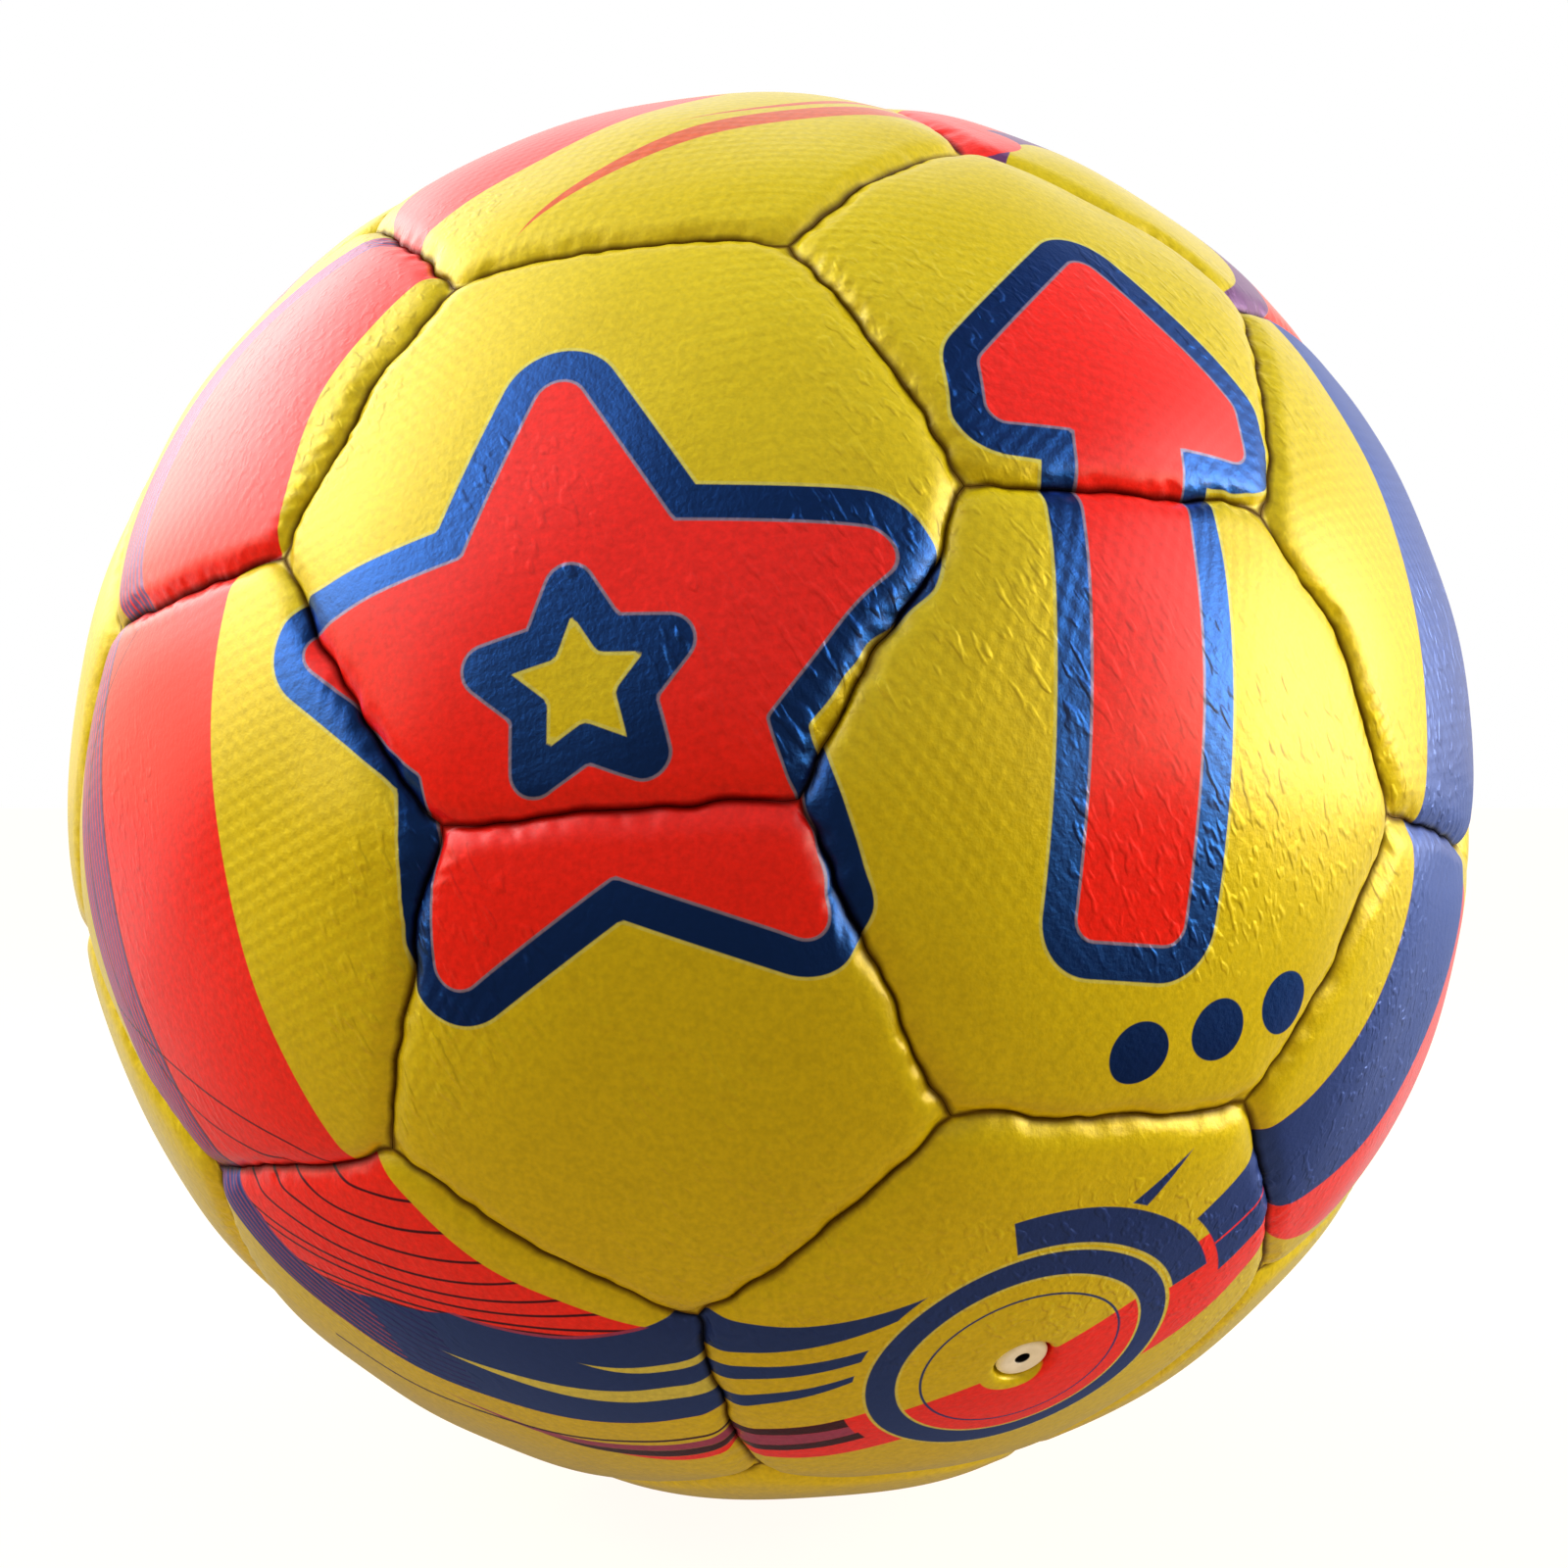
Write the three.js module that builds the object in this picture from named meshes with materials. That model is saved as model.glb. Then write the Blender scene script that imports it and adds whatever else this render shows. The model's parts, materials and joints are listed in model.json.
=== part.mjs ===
// A hand-stitched futsal ball of 32 panels, with its bladder and valve.
// Millimetres, +Z up, origin at the ball's centre. Seen along +Y, the valve lies below the middle
// and a little to the right.

import * as THREE from "three";

// Ball
const ballRadius = 100;

// Panels: a laminate of skin, foam and cloth backing with its edges turned in
const panelThickness = 3.6;
const seamDip = 1.9; // from the crown of the panels down to the lips of a seam
const shoulderWidth = 6.5; // the rounded strip along each edge
const seamGap = 0.3; // between the two lips of a seam
const lipHeight = 1.1; // the part of a seam that is pulled shut above the thread
const edgeDepth = 5.2; // how far the turned-in edges reach under the lips
const edgeThickness = 2;

// Seam thread
const threadWidth = 0.9;
const threadClearance = 0.3;

// Valve core, which is pushed into the housing
const headDiameter = 6.6;
const headThickness = 1.8;
const headRecess = 0.5; // under the crown of the valve panel
const headBevel = 0.3;
const stemDiameter = 4.4;
const stemLength = 15;
const needleDiameter = 1.7;
const needleDepth = 11;
const needleLeadIn = 0.5; // the countersink round the needle hole

// Valve housing, which sits in the bladder's opening and in the valve panel's hole
const neckWall = 0.9;
const collarDiameter = 17;
const waistDiameter = 10.4;
const flangeDiameter = 22;
const flangeThickness = 1.6;
const socketWall = 2;
const fitClearance = 0.3; // round the stem, the neck, the waist and the flange

// Bladder and its filling
const bladderWall = 1.2;
const seatClearance = 0.5; // between rounds that rest on each other, measured on the full round

// Lie of the ball, in degrees: where the valve points, and the turn about the valve's own axis
const valveAzimuth = 24.1; // from -Y towards +X
const valveElevation = -42.4;
const valveSpin = -10.9;

// Fineness of the meshes
const sideSteps = 3; // along each side of a panel
const shoulderSteps = 2;
const roundSegments = 24;
const arcSteps = 12;
const weldDistance = 0.01; // points closer than this are one vertex

// Radii from the ball's centre that follow from the sizes above
const lipRadius = ballRadius - seamDip;
const liningRadius = ballRadius - panelThickness;
const lipInset = seamGap / 2;
const channelInset = threadWidth / 2 + threadClearance;
const channelRadius = lipRadius - lipHeight - (channelInset - lipInset);
const threadRadius = channelRadius - threadClearance - threadWidth / 2;
const edgeRadius = lipRadius - edgeDepth;
const bladderRadius = edgeRadius - seatClearance;
const bladderInnerRadius = bladderRadius - bladderWall;
const fillingRadius = bladderInnerRadius - seatClearance;

// Radii from the valve's axis
const headRadius = headDiameter / 2;
const stemRadius = stemDiameter / 2;
const needleRadius = needleDiameter / 2;
const boreRadius = stemRadius + fitClearance;
const neckRadius = boreRadius + neckWall;
const holeRadius = Math.max(headRadius, neckRadius) + fitClearance;
const collarRadius = collarDiameter / 2;
const waistRadius = waistDiameter / 2;
const openingRadius = waistRadius + fitClearance;
const flangeRadius = flangeDiameter / 2;
const flangePocketRadius = flangeRadius + fitClearance;
const socketRadius = boreRadius + socketWall;
const socketPocketRadius = socketRadius + fitClearance;

// Levels along the valve's axis, from the ball's centre
const headTop = ballRadius - headRecess;
const headBottom = headTop - headThickness;
const neckTop = headBottom - fitClearance;
const collarTop = heightOnRound(liningRadius, collarRadius) - seatClearance;
const collarBottom = bladderRadius + fitClearance;
const flangeTop = heightOnRound(bladderInnerRadius, flangeRadius) - fitClearance;
const flangeBottom = flangeTop - flangeThickness;
const stemBottom = headBottom - stemLength;
const needleBottom = headTop - needleDepth;

const finishes = {
  panelSkin: { color: 0xccb00c, roughness: 0.42, metalness: 0 },
  thread: { color: 0x4a4210, roughness: 0.85, metalness: 0 },
  bladderRubber: { color: 0x1b1b1d, roughness: 0.6, metalness: 0 },
  fibre: { color: 0xe6e2d6, roughness: 0.95, metalness: 0 },
  housingRubber: { color: 0x2a2a2c, roughness: 0.7, metalness: 0 },
  coreRubber: { color: 0xeae4cc, roughness: 0.5, metalness: 0 },
};

function namedMesh(name, geometry, finish) {
  const mesh = new THREE.Mesh(geometry, new THREE.MeshStandardMaterial(finish));
  mesh.name = name;
  return mesh;
}

// Height above the ball's centre of a round surface, at a distance from the valve's axis
function heightOnRound(radius, distance) {
  return Math.sqrt(radius * radius - distance * distance);
}

// Layout: the 60 junctions and 32 panel centres of the ball, as directions from its centre

// Unit vectors for every sign and every cyclic order of three coordinates
function directionsFrom(coordinates) {
  const found = new Map();
  for (let signs = 0; signs < 8; signs += 1) {
    const signed = coordinates.map((value, axis) => ((signs >> axis) & 1 ? -value : value));
    for (let shift = 0; shift < 3; shift += 1) {
      const turned = [0, 1, 2].map((axis) => signed[(axis + shift) % 3]);
      const direction = new THREE.Vector3(...turned).normalize();
      const key = direction.toArray().map((value) => Math.round(value * 1e6) + 0).join();
      found.set(key, direction);
    }
  }
  return [...found.values()];
}

const golden = (1 + Math.sqrt(5)) / 2;
const junctions = [
  ...directionsFrom([0, 1, 3 * golden]),
  ...directionsFrom([1, 2 + golden, 2 * golden]),
  ...directionsFrom([golden, 2, 2 * golden + 1]),
];
const pentagonCentres = directionsFrom([0, 1, golden]);
const hexagonCentres = [
  ...directionsFrom([1, 1, 1]),
  ...directionsFrom([0, golden, 1 / golden]),
];
const valveCentre = hexagonCentres[0];

// The corner of a panel that its own frame is turned by
function firstCorner(centre) {
  const nearer = (best, junction) => (junction.dot(centre) > best.dot(centre) ? junction : best);
  return junctions.reduce(nearer);
}

// The turn from a panel's own frame, with its centre on +Z and a corner over +X, to the ball's frame
function panelTurn(centre) {
  const corner = firstCorner(centre);
  const towardsCorner = corner.clone().addScaledVector(centre, -corner.dot(centre)).normalize();
  const sideways = new THREE.Vector3().crossVectors(centre, towardsCorner);
  const basis = new THREE.Matrix4().makeBasis(towardsCorner, sideways, centre);
  return new THREE.Quaternion().setFromRotationMatrix(basis);
}

// A panel's outline in its own frame: the tangents of the angles from its centre to a corner and to
// the middle of a side
function panelOutline(sides, centre) {
  const cornerReach = Math.tan(centre.angleTo(firstCorner(centre)));
  return { sides, cornerReach, sideReach: cornerReach * Math.cos(Math.PI / sides) };
}

const pentagon = panelOutline(5, pentagonCentres[0]);
const hexagon = panelOutline(6, hexagonCentres[0]);

// Rings of points: each lies at one radius from the ball's centre, with steps points on each side

// The outline of a panel, shrunk towards its middle by a share
function outlineRing(outline, share, radius, steps) {
  const points = [];
  for (let side = 0; side < outline.sides; side += 1) {
    const from = (side * 2 * Math.PI) / outline.sides;
    const to = ((side + 1) * 2 * Math.PI) / outline.sides;
    for (let step = 0; step < steps; step += 1) {
      const part = step / steps;
      const x = THREE.MathUtils.lerp(Math.cos(from), Math.cos(to), part);
      const y = THREE.MathUtils.lerp(Math.sin(from), Math.sin(to), part);
      const reach = outline.cornerReach * share;
      points.push(new THREE.Vector3(x * reach, y * reach, 1).setLength(radius));
    }
  }
  return points;
}

// The share at which a ring keeps a distance from the middle planes of the seams
function shareAtInset(outline, inset, radius) {
  const sideAngle = Math.atan(outline.sideReach);
  return 1 - inset / (radius * Math.sin(sideAngle) * Math.cos(sideAngle));
}

function insetRing(outline, inset, radius) {
  return outlineRing(outline, shareAtInset(outline, inset, radius), radius, sideSteps);
}

// The edge of the valve's hole, with as many points as an outline
function holeRing(outline, radius) {
  const count = outline.sides * sideSteps;
  const points = [];
  for (let index = 0; index < count; index += 1) {
    const angle = (index * 2 * Math.PI) / count;
    const x = Math.cos(angle) * holeRadius;
    const y = Math.sin(angle) * holeRadius;
    points.push(new THREE.Vector3(x, y, heightOnRound(radius, holeRadius)));
  }
  return points;
}

// Triangles from ring to ring. A ring of one point is a pole, and neighbouring rings have equal
// numbers of steps on a side or differ by one.
function joinRings(rings, sides) {
  const starts = [];
  const positions = [];
  for (const ring of rings) {
    starts.push(positions.length / 3);
    ring.forEach((point) => positions.push(...point.toArray()));
  }
  const indices = [];
  for (let level = 0; level + 1 < rings.length; level += 1) {
    const steps = Math.floor(rings[level].length / sides);
    const nextSteps = Math.floor(rings[level + 1].length / sides);
    const vertex = (ring, perSide, side, step) =>
      starts[ring] + ((side * perSide + Math.min(step, perSide)) % rings[ring].length);
    for (let side = 0; side < sides; side += 1) {
      for (let step = 0; step < Math.max(steps, nextSteps); step += 1) {
        const a = vertex(level, steps, side, step);
        const b = vertex(level, steps, side, step + 1);
        const c = vertex(level + 1, nextSteps, side, step);
        const d = vertex(level + 1, nextSteps, side, step + 1);
        if (c !== d) {
          indices.push(a, c, d);
        }
        if (a !== b) {
          indices.push(a, d, b);
        }
      }
    }
  }
  return indexedGeometry(positions, indices);
}

function indexedGeometry(positions, indices) {
  const geometry = new THREE.BufferGeometry();
  geometry.setAttribute("position", new THREE.Float32BufferAttribute(positions, 3));
  geometry.setIndex(indices);
  return geometry;
}

// One geometry from several, in which points that meet are one vertex
function weldedGeometry(parts) {
  const points = [];
  const indices = [];
  for (const part of parts) {
    const position = part.getAttribute("position");
    const places = [];
    for (let index = 0; index < position.count; index += 1) {
      const point = new THREE.Vector3().fromBufferAttribute(position, index);
      const known = points.findIndex((other) => other.distanceTo(point) < weldDistance);
      places.push(known < 0 ? points.push(point) - 1 : known);
    }
    part.index.array.forEach((index) => indices.push(places[index]));
  }
  return indexedGeometry(points.flatMap((point) => point.toArray()), indices);
}

// Panels

// The rounded strip along the edges, and the turned-in edges under it, from the crown to the lining
function edgeRings(outline) {
  const shoulder = [];
  for (let step = 0; step <= shoulderSteps; step += 1) {
    const angle = ((Math.PI / 2) * step) / shoulderSteps;
    const inset = lipInset + shoulderWidth * (1 - Math.sin(angle));
    shoulder.push(insetRing(outline, inset, lipRadius + seamDip * Math.cos(angle)));
  }
  return [
    ...shoulder,
    insetRing(outline, lipInset, lipRadius - lipHeight),
    insetRing(outline, channelInset, channelRadius),
    insetRing(outline, channelInset, edgeRadius),
    insetRing(outline, channelInset + edgeThickness, edgeRadius),
    insetRing(outline, channelInset + edgeThickness, liningRadius),
  ];
}

// The rings between a panel's middle and its edge rings, at one radius
function faceRings(outline, reachShare, radius, stepsOf) {
  const rings = [];
  for (let step = 1; step < sideSteps; step += 1) {
    rings.push(outlineRing(outline, (reachShare * step) / sideSteps, radius, stepsOf(step)));
  }
  return rings;
}

function panelGeometry(outline, withHole) {
  const pole = (radius) => [new THREE.Vector3(0, 0, radius)];
  const middle = (radius) => (withHole ? holeRing(outline, radius) : pole(radius));
  const stepsOf = (step) => (withHole ? sideSteps : step);
  const crownShare = shareAtInset(outline, lipInset + shoulderWidth, ballRadius);
  const liningShare = shareAtInset(outline, channelInset + edgeThickness, liningRadius);
  const rings = [
    middle(ballRadius),
    ...faceRings(outline, crownShare, ballRadius, stepsOf),
    ...edgeRings(outline),
    ...faceRings(outline, liningShare, liningRadius, stepsOf).reverse(),
    middle(liningRadius),
  ];
  if (withHole) {
    rings.push(rings[0]);
  }
  return joinRings(rings, outline.sides);
}

// Seam thread: one net that follows every seam between the turned-in edges

// The half of the thread's section that faces one panel
function threadSideGeometry(outline) {
  const half = threadWidth / 2;
  const rings = [
    insetRing(outline, 0, threadRadius - half),
    insetRing(outline, half, threadRadius - half / 2),
    insetRing(outline, half, threadRadius + half / 2),
    insetRing(outline, 0, threadRadius + half),
  ];
  return joinRings(rings, outline.sides);
}

function threadGeometry() {
  const placed = (outline, centres) =>
    centres.map((centre) => threadSideGeometry(outline).applyQuaternion(panelTurn(centre)));
  const sides = [...placed(pentagon, pentagonCentres), ...placed(hexagon, hexagonCentres)];
  return weldedGeometry(sides);
}

// Round pieces on the valve's axis

// Turns a profile of [distance from the axis, height] about +Z
function turnedGeometry(profile) {
  const points = profile.map(([distance, height]) => new THREE.Vector2(distance, height));
  return new THREE.LatheGeometry(points, roundSegments).rotateX(Math.PI / 2);
}

// Points of a round profile, from its pole under the valve up to a distance from the axis near it
function arcProfile(radius, endDistance) {
  const lastAngle = Math.PI - Math.asin(flangePocketRadius / bladderInnerRadius);
  const profile = [[0, -radius]];
  for (let step = 1; step <= arcSteps; step += 1) {
    const angle = (lastAngle * step) / arcSteps;
    profile.push([radius * Math.sin(angle), -radius * Math.cos(angle)]);
  }
  if (endDistance < flangePocketRadius) {
    profile.push([endDistance, heightOnRound(radius, endDistance)]);
  }
  return profile;
}

function bladderGeometry() {
  const outside = arcProfile(bladderRadius, openingRadius);
  const inside = arcProfile(bladderInnerRadius, openingRadius);
  return turnedGeometry([...outside, ...inside.reverse()]);
}

function fillingGeometry() {
  return turnedGeometry([
    ...arcProfile(fillingRadius, flangePocketRadius),
    [flangePocketRadius, flangeBottom - fitClearance],
    [socketPocketRadius, flangeBottom - fitClearance],
    [socketPocketRadius, stemBottom - fitClearance],
    [0, stemBottom - fitClearance],
  ]);
}

function housingGeometry() {
  return turnedGeometry([
    [boreRadius, stemBottom],
    [socketRadius, stemBottom],
    [socketRadius, flangeBottom],
    [flangeRadius, flangeBottom],
    [flangeRadius, flangeTop],
    [waistRadius, flangeTop],
    [waistRadius, collarBottom],
    [collarRadius, collarBottom],
    [collarRadius, collarTop],
    [neckRadius, collarTop],
    [neckRadius, neckTop],
    [boreRadius, neckTop],
    [boreRadius, stemBottom],
  ]);
}

function coreGeometry() {
  return turnedGeometry([
    [0, stemBottom],
    [stemRadius, stemBottom],
    [stemRadius, headBottom],
    [headRadius, headBottom],
    [headRadius, headTop - headBevel],
    [headRadius - headBevel, headTop],
    [needleRadius + needleLeadIn, headTop],
    [needleRadius, headTop - needleLeadIn],
    [needleRadius, needleBottom],
    [0, needleBottom - needleRadius],
  ]);
}

// Assembly

function panelMeshes(prefix, outline, centres) {
  const geometry = panelGeometry(outline, false);
  return centres.map((centre, index) => {
    const number = String(index + 1).padStart(2, "0");
    const panel = namedMesh(prefix + number, geometry, finishes.panelSkin);
    panel.quaternion.copy(panelTurn(centre));
    return panel;
  });
}

function panelGroup() {
  const group = new THREE.Group();
  const plainCentres = hexagonCentres.filter((centre) => centre !== valveCentre);
  group.add(...panelMeshes("pentagon_panel_", pentagon, pentagonCentres));
  group.add(...panelMeshes("hexagon_panel_", hexagon, plainCentres));
  group.add(namedMesh("seam_thread", threadGeometry(), finishes.thread));
  return group;
}

// Everything on the valve's axis, which is +Z in this group
function valveGroup() {
  const group = new THREE.Group();
  group.add(namedMesh("valve_panel", panelGeometry(hexagon, true), finishes.panelSkin));
  group.add(namedMesh("bladder", bladderGeometry(), finishes.bladderRubber));
  group.add(namedMesh("bladder_filling", fillingGeometry(), finishes.fibre));
  group.add(namedMesh("valve_housing", housingGeometry(), finishes.housingRubber));
  group.add(namedMesh("valve_core", coreGeometry(), finishes.coreRubber));
  group.quaternion.copy(panelTurn(valveCentre));
  return group;
}

function ballLie() {
  const azimuth = THREE.MathUtils.degToRad(valveAzimuth);
  const elevation = THREE.MathUtils.degToRad(valveElevation);
  const level = Math.cos(elevation);
  const direction = new THREE.Vector3(
    Math.sin(azimuth) * level,
    -Math.cos(azimuth) * level,
    Math.sin(elevation),
  );
  const turn = THREE.MathUtils.degToRad(valveSpin);
  const tilt = new THREE.Quaternion().setFromUnitVectors(valveCentre, direction);
  return new THREE.Quaternion().setFromAxisAngle(direction, turn).multiply(tilt);
}

const ball = new THREE.Group();
ball.add(panelGroup(), valveGroup());
ball.quaternion.copy(ballLie());

export default ball;
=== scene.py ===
"""A hand-stitched futsal ball: puffy printed panels, their seams and thread, and the valve.

Sizes in the classes are millimetres and degrees. Meshes are in metres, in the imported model's frame:
the ball's centre at the origin, +Z up, and -Y towards the viewer.
"""

import itertools
import json
import logging
import math
from dataclasses import dataclass
from enum import Enum

import bpy
import numpy as np
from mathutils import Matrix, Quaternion, Vector


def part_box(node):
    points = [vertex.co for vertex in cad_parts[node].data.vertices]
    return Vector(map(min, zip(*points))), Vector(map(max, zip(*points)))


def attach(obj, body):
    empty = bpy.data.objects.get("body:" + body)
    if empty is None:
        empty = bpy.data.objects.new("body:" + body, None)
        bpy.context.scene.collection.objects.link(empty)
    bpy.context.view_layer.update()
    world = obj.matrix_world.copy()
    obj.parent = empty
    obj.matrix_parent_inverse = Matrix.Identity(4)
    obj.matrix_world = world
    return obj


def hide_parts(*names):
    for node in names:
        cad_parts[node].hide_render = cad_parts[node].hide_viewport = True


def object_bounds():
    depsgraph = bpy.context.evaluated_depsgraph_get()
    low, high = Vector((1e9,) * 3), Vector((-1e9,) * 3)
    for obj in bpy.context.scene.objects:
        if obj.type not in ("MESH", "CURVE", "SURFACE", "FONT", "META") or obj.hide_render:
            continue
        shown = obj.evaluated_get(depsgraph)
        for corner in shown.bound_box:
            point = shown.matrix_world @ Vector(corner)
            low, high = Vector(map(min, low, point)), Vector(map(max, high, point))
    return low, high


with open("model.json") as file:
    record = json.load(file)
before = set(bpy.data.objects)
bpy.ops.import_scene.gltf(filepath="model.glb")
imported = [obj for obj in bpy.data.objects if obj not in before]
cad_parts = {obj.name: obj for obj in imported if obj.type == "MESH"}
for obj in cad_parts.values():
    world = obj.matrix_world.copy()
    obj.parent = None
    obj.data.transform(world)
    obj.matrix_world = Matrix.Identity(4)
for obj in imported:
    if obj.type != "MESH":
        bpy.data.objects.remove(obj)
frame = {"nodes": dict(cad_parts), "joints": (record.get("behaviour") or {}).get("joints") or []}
CAD_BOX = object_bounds()

MM = 0.001
GOLDEN = (1 + math.sqrt(5)) / 2
CROWN_RADIUS = 100.0  # of the ball over the crowns of its panels, in mm
SOFT_EDGE = 0.08  # half the width in which a printed edge fades out, in mm
log = logging.getLogger("ball")


# Small helpers


def linear(code: str) -> tuple[float, float, float, float]:
    """Turns a colour written in sRGB hex into the linear values that shaders take.

    Args:
        code: The colour, such as "#d8c010".

    Returns:
        Red, green, blue and alpha, from 0 to 1.
    """
    shares = [int(code[start:start + 2], 16) / 255 for start in (1, 3, 5)]
    red, green, blue = (s / 12.92 if s <= 0.04045 else ((s + 0.055) / 1.055) ** 2.4 for s in shares)
    return red, green, blue, 1.0


def add_node(
    tree: bpy.types.NodeTree,
    kind: str,
    inputs: dict | None = None,
    output: int | str = 0,
    **settings: object,
) -> bpy.types.NodeSocket | None:
    """Adds a node to a tree, with its settings, values and links.

    Args:
        tree: The node tree.
        kind: The node's type without its leading "ShaderNode".
        inputs: A value or an output socket for each named or numbered input.
        output: The output that is returned.
        **settings: Properties of the node, such as operation.

    Returns:
        The chosen output socket, or None for a node that has none.
    """
    node = tree.nodes.new("ShaderNode" + kind)
    for name, value in settings.items():
        setattr(node, name, value)
    for name, value in (inputs or {}).items():
        if isinstance(value, bpy.types.NodeSocket):
            tree.links.new(value, node.inputs[name])
        else:
            node.inputs[name].default_value = value
    return node.outputs[output] if node.outputs else None


def new_material(name: str) -> tuple[bpy.types.Material, bpy.types.NodeTree]:
    """Makes a material with no nodes in it.

    Args:
        name: The material's name.

    Returns:
        The material and its node tree.
    """
    material = bpy.data.materials.new(name)
    material.use_nodes = True
    material.node_tree.nodes.clear()
    return material, material.node_tree


def direction(azimuth: float, elevation: float) -> np.ndarray:
    """Gives a direction from the ball's centre.

    Args:
        azimuth: Angle from -Y towards +X, in degrees.
        elevation: Angle above the horizon, in degrees.

    Returns:
        The unit vector.
    """
    turn, tilt = math.radians(azimuth), math.radians(elevation)
    level = math.cos(tilt)
    return np.array((math.sin(turn) * level, -math.cos(turn) * level, math.sin(tilt)))


def unit(vectors: np.ndarray) -> np.ndarray:
    """Gives vectors of length 1 along the last axis of an array."""
    return vectors / np.linalg.norm(vectors, axis=-1, keepdims=True)


def places_of(piece: bpy.types.Object) -> np.ndarray:
    """Reads a mesh's vertices.

    Args:
        piece: A mesh object.

    Returns:
        One row of x, y and z for each vertex, in metres.
    """
    places = np.empty(len(piece.data.vertices) * 3)
    piece.data.vertices.foreach_get("co", places)
    return places.reshape(-1, 3)


def put_places(piece: bpy.types.Object, places: np.ndarray) -> None:
    """Writes a mesh's vertices.

    Args:
        piece: A mesh object.
        places: One row of x, y and z for each vertex, in metres.
    """
    piece.data.vertices.foreach_set("co", np.ascontiguousarray(places, dtype=np.float64).ravel())
    piece.data.update()


def linked_copy(piece: bpy.types.Object) -> bpy.types.Object:
    """Copies an object and its mesh into the scene.

    Args:
        piece: A mesh object.

    Returns:
        The copy.
    """
    copy = piece.copy()
    copy.data = piece.data.copy()
    bpy.context.scene.collection.objects.link(copy)
    return copy


def edit_only(piece: bpy.types.Object) -> None:
    """Opens one object in edit mode, with nothing selected in it.

    Args:
        piece: The object, which becomes the only selected one.
    """
    bpy.ops.object.select_all(action="DESELECT")
    piece.select_set(True)
    bpy.context.view_layer.objects.active = piece
    bpy.ops.object.mode_set(mode="EDIT")
    bpy.ops.mesh.select_mode(type="VERT")
    bpy.ops.mesh.select_all(action="DESELECT")


def select_open_edges(piece: bpy.types.Object, nearest: float = 0.0, farthest: float = 1.0) -> None:
    """Selects the open edges of the object in edit mode that lie in a range from its own Z axis.

    Args:
        piece: The object in edit mode.
        nearest: Least distance from the axis, in metres.
        farthest: Most distance from the axis, in metres.
    """
    bpy.ops.mesh.select_all(action="DESELECT")
    bpy.ops.mesh.select_non_manifold(extend=False)
    bpy.ops.object.mode_set(mode="OBJECT")
    for vertex in piece.data.vertices:
        if vertex.select:
            reach = math.hypot(vertex.co.x, vertex.co.y)
            vertex.select = nearest <= reach <= farthest
    for edge in piece.data.edges:
        first, last = edge.vertices
        both = piece.data.vertices[first].select and piece.data.vertices[last].select
        edge.select = edge.select and both
    bpy.ops.object.mode_set(mode="EDIT")


def write_attribute(piece: bpy.types.Object, name: str, values: np.ndarray) -> None:
    """Stores a number or a vector on each vertex, for a material to read.

    Args:
        piece: A mesh object.
        name: The attribute's name.
        values: One number or one row of three for each vertex.
    """
    vector = values.ndim == 2
    kind = "FLOAT_VECTOR" if vector else "FLOAT"
    attribute = piece.data.attributes.new(name, kind, "POINT")
    attribute.data.foreach_set("vector" if vector else "value", values.astype(np.float32).ravel())


@dataclass(frozen=True)
class Ripple:
    """A smooth random field made of sine waves, the same at each run.

    Attributes:
        seed: Start of the random numbers.
        wavelength: Middle wavelength, in mm.
        waves: Number of sine waves.
    """

    seed: int
    wavelength: float
    waves: int = 14

    def at(self, places: np.ndarray) -> np.ndarray:
        """Gives the field's value at each place.

        Args:
            places: One row of x, y and z for each place, in mm.

        Returns:
            Values with a mean of 0 and a spread of 1.
        """
        random = np.random.default_rng(self.seed)
        headings = unit(random.normal(size=(self.waves, 3)))
        lengths = self.wavelength * random.uniform(0.7, 1.4, self.waves)
        phases = random.uniform(0, 2 * math.pi, self.waves)
        angles = places @ (headings * (2 * math.pi / lengths)[:, None]).T + phases
        return np.sin(angles).sum(axis=1) * math.sqrt(2 / self.waves)


# Layout of the panels


@dataclass(frozen=True)
class PanelPlace:
    """One panel's place on the ball.

    Attributes:
        node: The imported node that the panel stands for.
        sides: Five or six.
        turn: Columns are the panel's own axes on the ball: a corner is over Y and its middle on Z.
        far: Whether the panel lies on the far half, which repeats the near half's print.
    """

    node: str
    sides: int
    turn: np.ndarray
    far: bool


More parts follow.
